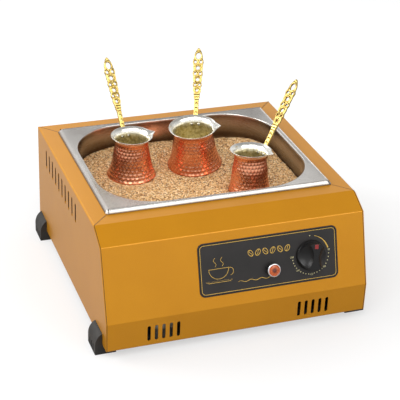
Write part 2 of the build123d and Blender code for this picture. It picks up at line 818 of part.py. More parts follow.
def make_earth_stud():
    """The earth stud with its nut."""
    x, y = stud_place()
    stud = screw((x, y, base_z), (0, 0, -1), stud_length)
    nut = hexagon(Plane(origin=(x, y, base_z + base_sheet)), stud_nut_radius, stud_nut_height)
    return stud + nut


def gland_plane():
    """On the back panel's outer face, looking out."""
    return Plane(origin=(gland_x, body_depth, floor_z + gland_height), x_dir=(-1, 0, 0), z_dir=(0, 1, 0))


def make_gland():
    """The cable inlet: flange and nose outside, a tube through the panel, and a bore for the cable."""
    plane = gland_plane()
    body = disc(plane, gland_flange_radius, gland_flange)
    body += disc(plane.offset(gland_flange), gland_nose_radius, gland_nose)
    body = chamfer(body.faces().sort_by(Axis.Y)[-1].edges(), gland_nose_chamfer)
    body += disc(plane.offset(-sheet - gland_inside), gland_hole_radius, sheet + gland_inside)
    through = 1 + gland_inside + sheet + gland_flange + gland_nose + 1
    return body - disc(plane.offset(-sheet - gland_inside - 1), gland_bore_radius, through)


def make_gland_nut():
    """The nut behind the panel."""
    plane = gland_plane().offset(-sheet - gland_nut_height)
    nut = hexagon(plane, gland_nut_radius, gland_nut_height)
    return nut - disc(plane.offset(-1), gland_hole_radius, gland_nut_height + 2)


# ---------------------------------------------------------------- pan and sand
def pan_room(inset=0.0):
    """The inside of the pan, drawn in by an inset at the walls but not at the floor."""
    mouth = RectangleRounded(pan_mouth_width - 2 * inset, pan_mouth_depth - 2 * inset,
                             pan_mouth_corner - inset)
    room = extrude(mouth, amount=-(pan_height - pan_wall), taper=pan_taper)
    room = fillet(room.faces().sort_by(Axis.Z)[0].edges(), pan_floor_corner - pan_wall)
    return Pos(0, pan_centre_y, rim_top_z) * room


def make_pan():
    """The drop-in pan: a deep bowl with large corners, a flat rim and a turned-down edge."""
    mouth = RectangleRounded(pan_mouth_width + 2 * pan_wall, pan_mouth_depth + 2 * pan_wall,
                             pan_mouth_corner + pan_wall)
    bowl = extrude(mouth, amount=-pan_height, taper=pan_taper)
    bowl = fillet(bowl.faces().sort_by(Axis.Z)[0].edges(), pan_floor_corner)
    slope = degrees(atan2(pan_rim_flare, pan_rim_height))
    flat_width = pan_width - 2 * pan_rim_flare
    flat_depth = pan_depth - 2 * pan_rim_flare
    over = RectangleRounded(flat_width, flat_depth, pan_rim_corner)
    rim = extrude(over, amount=-pan_rim_height, taper=-slope)
    under = RectangleRounded(flat_width - 2 * pan_wall, flat_depth - 2 * pan_wall,
                             pan_rim_corner - pan_wall)
    rim -= extrude(Plane.XY.offset(-pan_wall) * under, amount=-pan_rim_height, taper=-slope)
    return Pos(0, pan_centre_y, rim_top_z) * (rim + bowl) - pan_room()


def make_sand():
    """The sand: fills the pan to its level, with a pocket straight up from under each pot."""
    sand = pan_room(contact_inset)
    sand -= Pos(0, pan_centre_y, sand_z + pan_height / 2) * Box(2 * pan_width, 2 * pan_depth, pan_height)
    for pot in pots:
        seat = Plane(pot_place(pot)) * Circle(pot["base"] + pot_pocket_gap)
        sand -= extrude(seat, amount=pan_height, dir=(0, 0, 1))
    return sand


# ---------------------------------------------------------------- pots
def pot_place(pot):
    """The pot's own frame: base centre, leaning, with +X towards its handle."""
    heading = radians(pot["lean_to"])
    tip = Rotation(-pot["lean"] * sin(heading), pot["lean"] * cos(heading), 0)
    return Pos(pot["x"], pot["y"], sand_z - pot["sink"]) * tip * Rotation(0, 0, pot["handle"])


def pot_profile(pot, inset, over):
    """A turned outline: flared base, waisted neck and open lip, drawn in by an inset."""
    neck, height = pot["neck"], pot["height"]
    neck_z = pot_neck_share * height
    curve = []
    for share in (0.0, 0.15, 0.35, 0.65, 1.0):
        swell = (pot["base"] - neck) * (1 - share) ** pot_flare_power
        curve.append((neck + swell - inset, share * neck_z))
    curve[0] = (curve[0][0], inset)
    middle = (neck + 0.4 * (pot["rim"] - neck) - inset, neck_z + 0.55 * (height - neck_z))
    edge = (pot["rim"] - inset, height)
    side = Spline(*curve, middle, edge)
    path = [edge, (edge[0], height + over)] if over else [edge]
    rest = Polyline(*path, (0, height + over), (0, inset), curve[0])
    return revolve(Plane.XZ * make_face(side + rest), Axis.Z)


def spout_prism(pot, inset, over):
    """The pouring lip: a wedge that widens from the neck to the rim."""
    neck_z = pot_neck_share * pot["height"]
    spread = radians(spout_half_angle)
    rise = (pot["height"] + over - neck_z) / (pot["height"] - neck_z)
    sections = []
    for share in (0.0, rise):
        radius = pot["neck"] + (pot["rim"] - pot["neck"]) * share - inset
        apex = radius + spout_reach * share
        half = radius * sin(spread) * (0.35 + 0.65 * share) - inset / 2
        back = radius * cos(spread)
        plane = Plane.XY.offset(neck_z + (pot["height"] - neck_z) * share)
        sections.append(plane * make_face(Polyline((apex, 0), (back, half), (back, -half), close=True)))
    return Rotation(0, 0, pot["spout"]) * loft(sections, ruled=True)


def make_pot_body(pot):
    """The copper shell with its pouring lip, pierced for the handle's rivets."""
    outer = pot_profile(pot, 0, 0) + spout_prism(pot, 0, 0)
    inner = pot_profile(pot, pot_wall, 2) + spout_prism(pot, pot_wall, 2)
    shell = outer - inner
    for plane in rivet_planes(pot):
        shell -= disc(plane, rivet_radius, pot["rim"])
    return pot_place(pot) * shell


def pad_middle_z(pot):
    """The height of the middle of the handle's pad on the pot."""
    return pot["height"] - handle_pad_below_rim - handle_pad_height / 2


def rivet_planes(pot):
    """The two rivets' axes, from the pot's axis out through the pad, one each side of the stem."""
    turn = degrees(asin(rivet_offset / pot_pad_radius(pot)))
    headings = [Vector(1, 0, 0).rotate(Axis.Z, side * turn) for side in (-1, 1)]
    return [Plane(origin=(0, 0, pad_middle_z(pot)), z_dir=heading) for heading in headings]


def handle_face():
    """The handle drawn flat: tip at the top, openwork of drops and rounds, then the stem."""
    right = [(half, handle_length - along) for along, half in handle_outline]
    left = [(-x, y) for x, y in reversed(right)]
    blade = make_face(Spline(*right) + Line(right[-1], left[0]) + Spline(*left) + Line(left[-1], right[0]))
    stem_top = handle_length - handle_outline[-1][0]
    blade += Pos(0, stem_top / 2 - 5) * Rectangle(handle_stem_width, stem_top + 12)
    for along, radius, spread in handle_holes:
        for side in ((-1, 1) if spread else (1,)):
            blade -= Pos(side * spread, handle_length - along) * Circle(radius)
    along, tall, wide = handle_eye
    return blade - Pos(0, handle_length - along) * Ellipse(wide, tall)


def make_handle(pot):
    """The cast handle: a pad shaped to the neck and an openwork blade that rises outward."""
    pad_z = pad_middle_z(pot)
    pad_x = pot["neck"] + handle_pad_thickness / 2
    tilt = radians(pot["tilt"])
    plane = Plane(origin=(pad_x, 0, pad_z), x_dir=(0, 1, 0), z_dir=(cos(tilt), 0, -sin(tilt)))
    blade = extrude(plane * handle_face(), amount=handle_thickness / 2, both=True)
    pad_start = pot["neck"] - 2 * handle_pad_thickness
    pad_face = Plane(origin=(pad_start, 0, pad_z), x_dir=(0, 1, 0), z_dir=(1, 0, 0))
    pad_face = pad_face * RectangleRounded(handle_pad_width, handle_pad_height, handle_pad_corner)
    pad = extrude(pad_face, amount=4 * handle_pad_thickness)
    keep = disc(Plane.XY, pot_pad_radius(pot), pot["height"])
    handle = (pad & keep) + blade
    handle -= pot_profile(pot, 0, 0)
    for plane in rivet_planes(pot):
        handle -= disc(plane, rivet_radius, 2 * pot["rim"])
    return pot_place(pot) * max(handle.solids(), key=lambda solid: solid.volume)


def make_rivets(pot):
    """Two rivets, with a domed head on the handle's pad and a low head inside the pot."""
    outer = pot_pad_radius(pot)
    wall = pot["neck"] - pot_waist_dip - pot_wall
    inner = (wall ** 2 - rivet_head_radius ** 2) ** 0.5
    low = inner - rivet_head_height
    crown = outer + rivet_head_height
    section = Polyline((0, low), (0.6 * rivet_head_radius, low), (rivet_head_radius, inner),
                       (rivet_radius, inner), (rivet_radius, outer), (rivet_head_radius, outer),
                       (0.85 * rivet_head_radius, outer + 0.6 * rivet_head_height),
                       (0.4 * rivet_head_radius, crown), (0, crown), close=True)
    rivet = revolve(Plane.XZ * make_face(section), Axis.Z)
    return pot_place(pot) * group([plane * rivet for plane in rivet_planes(pot)])


def pot_pad_radius(pot):
    """The outer face of the handle's pad, measured from the pot's axis."""
    return pot["neck"] + handle_pad_thickness + handle_pad_swell


# ---------------------------------------------------------------- assembly
def make_base_screws():
    """Screws from below through the flanges into the base."""
    length = sheet + base_sheet + screw_past
    return group([screw((x, y, floor_z), (0, 0, -1), length) for x, y in base_screw_places()])


def make_foot_screws():
    """One screw up through each foot, the flange and the base."""
    start = foot_height / 2
    length = base_z + base_sheet + screw_past - start
    return group([screw((x, y, start), (0, 0, -1), length) for x, y in foot_screw_places()])


def all_nodes():
    """Every piece of the machine by its node name."""
    right_side = make_side_panel()
    nodes = {
        "front_panel": make_front_panel(),
        "right_side_panel": right_side,
        "left_side_panel": mirror(right_side, about=Plane.YZ),
        "back_panel": make_back_panel(),
        "base_plate": make_base_plate(),
        "base_screws": make_base_screws(),
        "foot_screws": make_foot_screws(),
        "label_plate": make_label_plate(),
        "thermostat_knob": make_knob(),
        "thermostat_shaft": make_shaft(),
        "thermostat_body": make_thermostat(),
        "thermostat_tabs": make_tabs(),
        "thermostat_screws": make_thermostat_screws(),
        "lamp_shroud": make_shroud(),
        "lamp_bezel": make_bezel(),
        "lamp_lens": make_lens(),
        "lamp_body": make_lamp_body(),
        "lamp_nut": make_lamp_nut(),
        "heater_tray": make_tray(),
        "tray_spacers": make_spacers(),
        "tray_screws": make_tray_screws(),
        "insulation_mat": make_mat(),
        "reflector_plate": make_reflector(),
        "heating_element": make_element(),
        "element_supports": make_supports(),
        "element_nuts": make_element_nuts(),
        "sensing_bulb": make_bulb(),
        "bulb_clip": make_clip(),
        "capillary_tube": make_capillary(),
        "terminal_block": make_terminal_block(),
        "terminal_screws": make_block_screws(),
        "earth_stud": make_earth_stud(),
        "cable_gland": make_gland(),
        "gland_nut": make_gland_nut(),
        "gn_pan": make_pan(),
        "sand_bed": make_sand(),
    }
    low = base_z + base_sheet + bracket_gap
    for name, side in (("left", -1), ("right", 1)):
        for place, y in zip(("front", "back"), foot_places()):
            nodes[f"foot_{place}_{name}"] = make_foot(side, y)
        front_top = panel_bottom_z - bend_radius
        nodes[f"bracket_front_{name}"] = make_bracket(side, sheet, 1, low, front_top)
        back_top = low + back_bracket_height
        nodes[f"bracket_back_{name}"] = make_bracket(side, body_depth - sheet, -1, low, back_top)
    for number, pot in enumerate(pots, start=1):
        nodes[f"cezve_{number}_body"] = make_pot_body(pot)
        nodes[f"cezve_{number}_handle"] = make_handle(pot)
        nodes[f"cezve_{number}_rivets"] = make_rivets(pot)
    return nodes


nodes = all_nodes()
whole = Compound([solid for shape in nodes.values() for solid in shape.solids()]).bounding_box()
shift = Pos(-whole.center().X, -whole.center().Y, 0)
os.makedirs("parts", exist_ok=True)
for name, shape in nodes.items():
    export_step(shift * shape, f"parts/{name}.step")
print("moved by", shift.position, "size", whole.size)
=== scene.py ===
# %% [markdown]
# # A sand coffee maker, dressed in Blender
# The machine is a folded sheet housing with a pan of hot sand and three small copper pots. The
# solids come from CAD as a fixed frame, in metres, with the bottom of the feet at zero. This file
# gives each solid its finish and models the pieces whose surface carries the look: hammered pots,
# cast handles, loose sand, the pressed pan and the printed dial.

# %% Open the frame
import json
import random
from math import atan2, copysign, cos, hypot, pi, radians, sin, tan

import bmesh
import bpy
from mathutils import Matrix, Vector, noise


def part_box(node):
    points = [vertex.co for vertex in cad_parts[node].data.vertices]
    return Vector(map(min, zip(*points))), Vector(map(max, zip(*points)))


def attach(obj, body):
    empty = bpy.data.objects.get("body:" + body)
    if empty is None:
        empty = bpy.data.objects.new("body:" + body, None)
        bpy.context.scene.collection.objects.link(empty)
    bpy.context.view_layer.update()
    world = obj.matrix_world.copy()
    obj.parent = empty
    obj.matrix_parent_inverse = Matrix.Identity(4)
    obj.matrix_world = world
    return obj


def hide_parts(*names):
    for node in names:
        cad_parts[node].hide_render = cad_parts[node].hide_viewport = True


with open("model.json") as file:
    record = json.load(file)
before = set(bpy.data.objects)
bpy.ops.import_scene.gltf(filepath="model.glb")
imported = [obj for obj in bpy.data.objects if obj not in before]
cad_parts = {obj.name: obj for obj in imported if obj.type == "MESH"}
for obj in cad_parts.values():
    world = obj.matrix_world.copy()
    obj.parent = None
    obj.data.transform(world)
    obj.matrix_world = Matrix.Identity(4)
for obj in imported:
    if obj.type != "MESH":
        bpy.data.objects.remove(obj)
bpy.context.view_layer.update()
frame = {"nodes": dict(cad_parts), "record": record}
apron_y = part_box("front_panel")[0].y
print("nodes", len(frame["nodes"]), "apron at", round(apron_y, 4))

# %% [markdown]
# ## Working in millimetres
# A maker thinks in millimetres from the front of the machine, and Blender works in metres from its
# middle. One small function turns the first into the second, so every size below can be read as it
# would be on a drawing. Two frames do it for whole pieces: one upright, one leaning as the panel.

# %% Millimetres to metres
MM = 0.001


def spot(x, y, z):
    """A place in millimetres: x from the middle, y from the front apron, z from the table."""
    return Vector((x * MM, y * MM + apron_y, z * MM))


def upright(y):
    """An upright frame in millimetres, this far behind the apron."""
    return Matrix.Translation(spot(0, y, 0)) @ Matrix.Scale(MM, 4)


panel_foot, panel_run, panel_rise = 55.8, 30.8, 98.4
lean = atan2(panel_run, panel_rise)
panel_up = Vector((0, sin(lean), cos(lean)))
panel_out = Vector((0, -cos(lean), sin(lean)))


def panel_frame(x, up, out=0.0):
    """The frame of a place on the leaning panel: x across, y up the slope, z out of it."""
    origin = spot(x, 0, panel_foot) + panel_up * up * MM + panel_out * out * MM
    turn = Matrix.Rotation(pi / 2 - lean, 4, "X")
    return Matrix.Translation(origin) @ turn @ Matrix.Scale(MM, 4)


print("panel leans", round(lean * 180 / pi, 2), "degrees")

# %% [markdown]
# ## Where the camera stands
# The camera looks down at the front left corner from a little under two metres, through a long
# lens, so that the lines of the box come together only a little. Its turn is three rotations:
# round to the left, down from above and a small roll.

# %% Camera
view_azimuth, view_elevation, view_roll = radians(-20.5045), radians(28.1322), radians(2.3618)


def placed(name, data):
    """A new object of the scene."""
    holder = bpy.data.objects.new(name, data)
    bpy.context.collection.objects.link(holder)
    return holder


camera = placed("camera", bpy.data.cameras.new("camera"))
camera.data.lens = 114.2
camera.data.sensor_width = 36.0
camera.matrix_world = (Matrix.Translation(spot(-556.56, -1317.18, 974.91))
                       @ Matrix.Rotation(view_azimuth, 4, "Z")
                       @ Matrix.Rotation(pi / 2 - view_elevation, 4, "X")
                       @ Matrix.Rotation(view_roll, 4, "Z"))
bpy.context.scene.camera = camera
print("camera", [round(value, 3) for value in camera.matrix_world.translation])

# %% [markdown]
# ## Finishes as sums
# A finish is a tree of nodes, which is slow to read as a list of links. Here a small class holds
# one output socket and lets Python's +, - and * build the Math nodes, so a finish reads as the sum
# that it is. A second class adds any other node, and a third one holds a material.

# %% A socket that can be added up
class Wire:
    """One output socket of a value, ready for sums."""

    def __init__(self, nodes, socket):
        self.nodes = nodes
        self.socket = socket

    def sum(self, operation, first, second):
        return self.nodes.node("Math", {0: first, 1: second}, operation=operation)

    def __add__(self, other):
        return self.sum("ADD", self, other)

    def __sub__(self, other):
        return self.sum("SUBTRACT", self, other)

    def __rsub__(self, other):
        return self.sum("SUBTRACT", other, self)

    def __mul__(self, other):
        return self.sum("MULTIPLY", self, other)

    __radd__ = __add__
    __rmul__ = __mul__

    def ramp(self, low, high):
        """0 below low, 1 above high, straight between."""
        sockets = {"Value": self, "From Min": low, "From Max": high}
        return self.nodes.node("MapRange", sockets, clamp=True)


# %% A tree of nodes
class Nodes:
    """The nodes of a material or of the sky."""

    def __init__(self, tree):
        self.tree = tree

    def node(self, kind, sockets, output=0, **settings):
        """Adds a shader node: its settings, then the values or links of its sockets."""
        node = self.tree.nodes.new("ShaderNode" + kind)
        for key, value in settings.items():
            if key == "stops":
                for index, (at, colour) in enumerate(value):
                    stop = (node.color_ramp.elements[index] if index < 2
                            else node.color_ramp.elements.new(at))
                    stop.position = at
                    stop.color = linear(colour)
            else:
                setattr(node, key, value)
        for key, value in sockets.items():
            if isinstance(value, Wire):
                self.tree.links.new(value.socket, node.inputs[key])
            else:
                node.inputs[key].default_value = value
        return Wire(self, node.outputs[output])

    def rays(self):
        """1 for a ray from the camera, off a glossy face and through glass."""
        kinds = ("Is Camera Ray", "Is Glossy Ray", "Is Transmission Ray")
        return [self.node("LightPath", {}, kind) for kind in kinds]


# %% A finish
class Finish(Nodes):
    """A material with one Principled shader. Constants go on the shader's own sockets."""

    def __init__(self, name, colour, **constants):
        self.name = name
        self.material = bpy.data.materials.new(name)
        self.material.use_nodes = True
        super().__init__(self.material.node_tree)
        self.shader = next(node for node in self.tree.nodes if node.type == "BSDF_PRINCIPLED")
        for key, value in dict(base_color=linear(colour), **constants).items():
            self.input(key).default_value = value
        self.place = self.node("TexCoord", {}, "Object")
        self.material.diffuse_color = linear(colour)

    def input(self, key):
        """The shader's socket for a name such as specular_ior_level."""
        return self.shader.inputs[key.replace("_", " ").title().replace("Ior", "IOR")]

    def noise(self, size, detail=2.0, roughness=0.5, stretch=None):
        """Soft noise whose lumps are about this many millimetres across."""
        place = self.place
        if stretch:
            place = self.node("Mapping", {"Vector": place, "Scale": stretch})
        return self.node("TexNoise", {
            "Vector": place, "Scale": 1 / (size * MM), "Detail": detail, "Roughness": roughness})

    def cells(self, size, output="Distance"):
        """Grains about this many millimetres across."""
        sockets = {"Vector": self.place, "Scale": 1 / (size * MM)}
        return self.node("TexVoronoi", sockets, output)

    def attribute(self, name):
        """A value painted on the mesh."""
        return self.node("Attribute", {}, "Fac", attribute_name=name)

    def mix(self, factor, low, high):
        """Between two colours, each a plain colour or a link."""
        low, high = (end if isinstance(end, Wire) else linear(end) for end in (low, high))
        return self.node("Mix", {0: factor, 6: low, 7: high}, 2, data_type="RGBA")

    def feed(self, **wires):
        """Links values to the shader's sockets."""
        for key, wire in wires.items():
            self.tree.links.new(wire.socket, self.input(key))
        return self

    def bump(self, height, depth):
        """Lets a height, in millimetres at this depth, tilt the light."""
        sockets = {"Height": height, "Distance": depth * MM}
        return self.feed(normal=self.node("Bump", sockets, "Normal"))


def linear(colour):
    """A screen colour of 0 to 255 as the linear light that a shader wants."""
    def channel(value):
        value /= 255
        return value / 12.92 if value <= 0.04045 else ((value + 0.055) / 1.055) ** 2.4
    return tuple(channel(value) for value in colour[:3]) + (1.0,)


print("a mid grey of 128 is", round(linear((128, 128, 128))[0], 3))

# %% [markdown]
# ## Gold powder coat
# The housing is sheet steel sprayed with a gold paint that has fine metal flakes in it, then baked.
# It is part metal, part colour: the flakes brighten it where it faces the light, and the clear
# binder over them is a coat that turns pale where it is seen at a low angle. A fine noise stands
# for the flakes and a broad one for the uneven spray.

# %% Housing paint
def housing_paint():
    paint = Finish("housing_paint", (206, 138, 24), metallic=0.5, roughness=0.38,
                   specular_ior_level=0.1, coat_weight=0.6, coat_roughness=0.25)
    flakes = paint.noise(0.35, 3.0)
    clouds = paint.noise(60, 2.0)
    share = (flakes * 0.7 + clouds * 0.3).ramp(0.3, 0.7)
    colour = paint.mix(share, (199, 131, 4), (213, 145, 12))
    return paint.feed(base_color=colour, roughness=flakes * 0.16 + 0.3).bump(flakes, 0.02)


paint = housing_paint()
print("paint nodes", len(paint.tree.nodes))

# %% [markdown]
# ## Metals
# Rolled stainless sheet has a fine grain along one direction, and a satin look. Zinc plate is
# duller and blotchy. Chrome and brass turnings are smooth. All of them are full metal, and only
# their colour, their roughness and the size of their blotches make them differ.

# %% Sheet metals and fittings
def sheet_metal(name, low, high, rough, blotch):
    metal = Finish(name, high, metallic=1.0, roughness=rough)
    patches = metal.noise(blotch, 3.0)
    brushed = metal.noise(1.2, 2.0, 0.6, (1, 12, 12))
    colour = metal.mix(patches.ramp(0.35, 0.65), low, high)
    rough_map = brushed * 0.16 + patches * 0.1 + (rough - 0.13)
    return metal.feed(base_color=colour, roughness=rough_map).bump(brushed, 0.01)


metals = [
    sheet_metal("stainless", (196, 190, 184), (216, 211, 205), 0.28, 45),
    sheet_metal("zinc_sheet", (150, 154, 158), (188, 190, 192), 0.42, 9),
    sheet_metal("screw_steel", (170, 170, 172), (200, 200, 202), 0.3, 2),
    sheet_metal("lamp_chrome", (214, 214, 216), (236, 236, 238), 0.16, 5),
    sheet_metal("brass_fitting", (196, 158, 84), (226, 190, 112), 0.3, 4),
    sheet_metal("copper_tube", (176, 102, 66), (208, 134, 92), 0.32, 6),
    sheet_metal("element_sheath", (58, 56, 56), (92, 84, 76), 0.5, 10),
]
print("metals", len(metals))

# %% [markdown]
# ## Moulded and mineral pieces
# Black moulded plastic shows a soft satin skin with a fine texture from the mould. Glazed ceramic
# is smooth and pale. Mineral wool is a mat of fibres, with a strong bump and hardly any gloss.

# %% Plastics, ceramic and wool
def moulded(name, low, high, rough, size=0.5, depth=0.03, **constants):
    plastic = Finish(name, high, roughness=rough, **constants)
    skin = plastic.noise(size, 3.0)
    tone = plastic.noise(size * 30, 2.0)
    colour = plastic.mix(tone.ramp(0.35, 0.65), low, high)
    return plastic.feed(base_color=colour, roughness=skin * 0.2 + (rough - 0.1)).bump(skin, depth)


mouldings = [
    moulded("foot_plastic", (31, 29, 26), (43, 40, 36), 0.55, 0.7, 0.06),
    moulded("lamp_black", (24, 23, 23), (36, 35, 34), 0.3),
    moulded("knob_black", (13, 12, 12), (19, 18, 18), 0.34, 0.8, 0.01, specular_ior_level=0.35),
    moulded("gland_plastic", (30, 30, 31), (42, 42, 43), 0.45),
    moulded("lamp_white", (206, 203, 194), (224, 221, 212), 0.4),
    moulded("thermostat_case", (196, 190, 174), (214, 208, 192), 0.45),
    moulded("block_ceramic", (222, 218, 206), (236, 232, 222), 0.2, 1.5, 0.02),
    moulded("mineral_wool", (178, 160, 104), (208, 192, 138), 0.95, 0.9, 0.6),
]
print("moulded and mineral finishes", len(mouldings))

# %% [markdown]
# ## Lamp lens and label
# The pilot lamp's cap is clear amber plastic in front of a small neon tube. Its dark middle is a
# painted shadow of the tube, so the colour follows the distance from the crown. A glossy coat and a
# little painted glow of its own let it read well from every side. The label is a dark plate with a
# satin skin.

# %% Lens and label
def lens_crown():
    """The middle of the lens's domed face: the foremost point of its mesh, kept on its axis."""
    low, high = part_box("lamp_lens")
    corners = [vertex.co for vertex in frame["nodes"]["lamp_lens"].data.vertices]
    middle = (low + high) / 2
    return middle + panel_out * max((corner - middle).dot(panel_out) for corner in corners)


def lens_finish():
    # Painted shadow of the tube: the lens is darker close to its crown.
    tube_shadow_radius, bright_radius = 2.2 * MM, 4.6 * MM
    # The emission is a little painted glow, so that the amber reads well from every side.
    amber = Finish("lamp_amber", (176, 78, 30), roughness=0.2, coat_weight=0.6,
                   coat_roughness=0.05, emission_strength=0.06)
    flutes = amber.noise(2.2, 1.0)
    across = amber.node("VectorMath", {0: amber.place, 1: lens_crown()}, "Value",
                        operation="DISTANCE")
    glow = amber.mix(flutes.ramp(0.3, 0.7), (164, 66, 18), (206, 98, 38))
    colour = amber.mix(across.ramp(tube_shadow_radius, bright_radius), (96, 34, 14), glow)
    return amber.feed(base_color=colour, emission_color=colour).bump(flutes, 0.1)


def label_finish():
    plate = Finish("label_black", (38, 36, 35), roughness=0.42, specular_ior_level=0.4)
    skin = plate.noise(0.4, 2.0)
    tone = plate.noise(40, 2.0)
    colour = plate.mix(tone.ramp(0.3, 0.7), (34, 32, 31), (43, 40, 39))
    return plate.feed(base_color=colour, roughness=skin * 0.16 + 0.34).bump(skin, 0.01)


lamp_amber = lens_finish()
label_black = label_finish()
print("lens and label ready")

# %% [markdown]
# ## Finish on the CAD solids
# Every solid of the frame belongs to a material slot of the record, and each finish so far has the
# name of its slot. The loop hands it to every solid of that slot. The pots and the sand come later.

# %% Dress the solids
finishes = {finish.name: finish for finish in [paint, *metals, *mouldings, lamp_amber, label_black]}


def dress(node, finish):
    """Gives a CAD solid its finish."""
    materials = frame["nodes"][node].data.materials
    materials.clear()
    materials.append(finish.material)


for part in frame["record"]["subparts"]:
    if part["material_slot"] in finishes:
        dress(part["node"], finishes[part["material_slot"]])
print("dressed slots", len(finishes))

# %% [markdown]
# ## From a bmesh to a piece
# Each new piece is drawn in millimetres in its own frame, moved to its place, and made an object
# that sits at the origin. It names the body it rides on, the finish it gets and the CAD solid that
# it replaces.

# %% Make a piece
def finished(name, mesh, finish, body, replaces=(), smooth=True):
    """Makes an object of a mesh that is already in place."""
    mesh.name = name
    if smooth:
        mesh.shade_smooth()
    mesh.materials.append(finish.material)
    piece = placed(name, mesh)
    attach(piece, body)
    if replaces:
        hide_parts(*replaces)
    print(name, "faces", len(mesh.polygons))
    return piece


def settled(bm, place):
    """Moves a bmesh from its own millimetres to its place and makes it a mesh."""
    bmesh.ops.transform(bm, matrix=place, verts=bm.verts)
    mesh = bpy.data.meshes.new("piece")
    bm.to_mesh(mesh)
    bm.free()
    return mesh


def worked_out(holder):
    """The mesh that Blender works out for an object, which is then removed."""
    graph = bpy.context.evaluated_depsgraph_get()
    mesh = bpy.data.meshes.new_from_object(holder.evaluated_get(graph))
    bpy.data.objects.remove(holder)
    return mesh


def smooth_step(value):
    """0 below 0, 1 above 1, with a soft rise between."""
    value = min(1.0, max(0.0, value))
    return value * value * (3 - 2 * value)


# %% [markdown]
# ## The pots
# A cezve is spun from copper sheet, hammered all over in rows of small dents, tinned inside, and
# its lip is pulled out into a spout. The numbers below are its place on the sand, its radii and
# height, the way its handle and spout point and how far it leans.

# %% Sizes of the pots
rim_z, sand_z = 176.5, 141.0
pan_middle_y = 217.8
heights = (0.002, 0.05, 0.12, 0.2, 0.3, 0.42, 0.55, 0.68, 0.78, 0.85, 0.9, 0.94, 0.97, 0.999)
pots = [
    dict(x=-77.6, y=251.3, rim=29.8, neck=25.1, base=35.6, height=62.5, sink=3.0,
         handle=96.7, tilt=36.7, spout=-92.0, lean=1.0, lean_to=-112.0,
         swell=(10.45, 9.18, 7.5, 5.78, 4.03, 2.61, 1.36, -0.29, -1.26, -1.17, -0.39, 0.87, 2.35,
                4.6)),
    dict(x=23.9, y=264.2, rim=35.1, neck=30.0, base=40.4, height=62.2, sink=5.0,
         handle=65.0, tilt=45.5, spout=-84.0, lean=6.7, lean_to=-149.0,
         swell=(10.35, 9.09, 7.43, 5.73, 3.99, 2.6, 1.36, -0.33, -1.34, -1.25, -0.42, 0.95, 2.55,
                4.99)),
    dict(x=70.5, y=161.6, rim=29.3, neck=24.3, base=30.2, height=61.5, sink=4.0,
         handle=26.4, tilt=36.0, spout=-72.0, lean=4.3, lean_to=80.5,
         swell=(5.87, 5.16, 4.22, 3.24, 2.25, 1.56, 0.86, -0.5, -1.37, -1.24, -0.42, 0.93, 2.5,
                4.9)),
]


def pot_frame(pot):
    """The pot's own frame: middle of its base, leaning, with x towards its handle."""
    heading = radians(pot["lean_to"])
    tip = (Matrix.Rotation(radians(-pot["lean"] * sin(heading)), 4, "X")
           @ Matrix.Rotation(radians(pot["lean"] * cos(heading)), 4, "Y"))
    return (Matrix.Translation(spot(pot["x"], pot["y"], sand_z - pot["sink"])) @ tip
            @ Matrix.Rotation(radians(pot["handle"]), 4, "Z") @ Matrix.Scale(MM, 4))


def through(points, steps):
    """A smooth curve through points, with this many steps between neighbours."""
    ends = [points[0]] + list(points) + [points[-1]]
    curve = []
    for before, start, end, after in zip(ends, ends[1:], ends[2:], ends[3:]):
        for step in range(steps):
            t = step / steps
            curve.append(tuple(
                0.5 * (2 * b + (c - a) * t + (2 * a - 5 * b + 4 * c - d) * t * t
                       + (3 * b - a - 3 * c + d) * t ** 3)
                for a, b, c, d in zip(before, start, end, after)))
    return curve + [tuple(points[-1])]


print("pots", len(pots))

# %% [markdown]
# ### Turning the shell
# The outline runs from the middle of the base, up the outside, over the lip and down the inside. A
# spin turns it into a shell, as the metal spinner does. The dents are then pressed in, each a
# shallow bowl in a staggered row, and the metal near the spout is pulled out to a V.

# %% Shell of a pot
pot_wall, around = 1.2, 264
dent_pitch, dent_depth, dent_reach_squared = 5.0, 0.5, 0.27
neck_share = 0.915
spout_half, spout_out = radians(18.0), 6.0


def pot_outline(pot):
    """Radius and height from the base's middle, out, up and over the lip and down inside."""
    tall = pot["height"]
    side = [(pot["neck"] + swell, share * tall) for share, swell in zip(heights, pot["swell"])]
    base = side[0][0]
    outer = [(0.0, 0.0), (base * 0.5, 0.0), (base - 2.0, 0.0), (base - 0.7, 0.25), (base, 1.2)]
    outer += [point for point in through(side, 5) if point[1] > 1.9]
    lip = outer.pop()[0]
    edge = [(lip + 0.15, tall - 0.35), (lip + 0.05, tall), (lip - 0.5, tall),
            (lip - 0.95, tall - 0.2)]
    inner = [(radius - pot_wall, z) for radius, z in reversed(through(side, 3))
             if 3.5 < z < tall - 0.9]
    floor = [(base - 5.2, 1.7), (base - 7.5, 1.3), (base * 0.4, pot_wall), (0.0, pot_wall)]
    return outer + edge + inner + floor


def dent(along, about):
    """How deep the hammer has gone here: 0 between the dents, 1 in the middle of one."""
    row = round(along / dent_pitch)
    u = about / dent_pitch + 0.5 * (row % 2)
    du, dv = u - round(u), along / dent_pitch - row
    return max(0.0, 1 - (du * du + dv * dv) / dent_reach_squared)


def spout_pull(pot, angle):
    """How far the lip is pulled out at this angle from the spout's point, for a plain V."""
    point = pot["rim"] + spout_out
    side = Vector((pot["rim"] * cos(spout_half) - point, pot["rim"] * sin(spout_half)))
    reach = point * side.y / (side.y * cos(angle) - side.x * sin(abs(angle)))
    return max(0.0, reach - pot["rim"])


def pot_shell(pot):
    bm = bmesh.new()
    line = [bm.verts.new((radius, 0, z)) for radius, z in pot_outline(pot)]
    edges = [bm.edges.new(pair) for pair in zip(line, line[1:])]
    bmesh.ops.spin(bm, geom=line + edges, cent=(0, 0, 0), axis=(0, 0, 1), angle=2 * pi,
                   steps=around, use_merge=True)
    bmesh.ops.remove_doubles(bm, verts=bm.verts, dist=0.01)
    bmesh.ops.recalc_face_normals(bm, faces=bm.faces)
    return bm


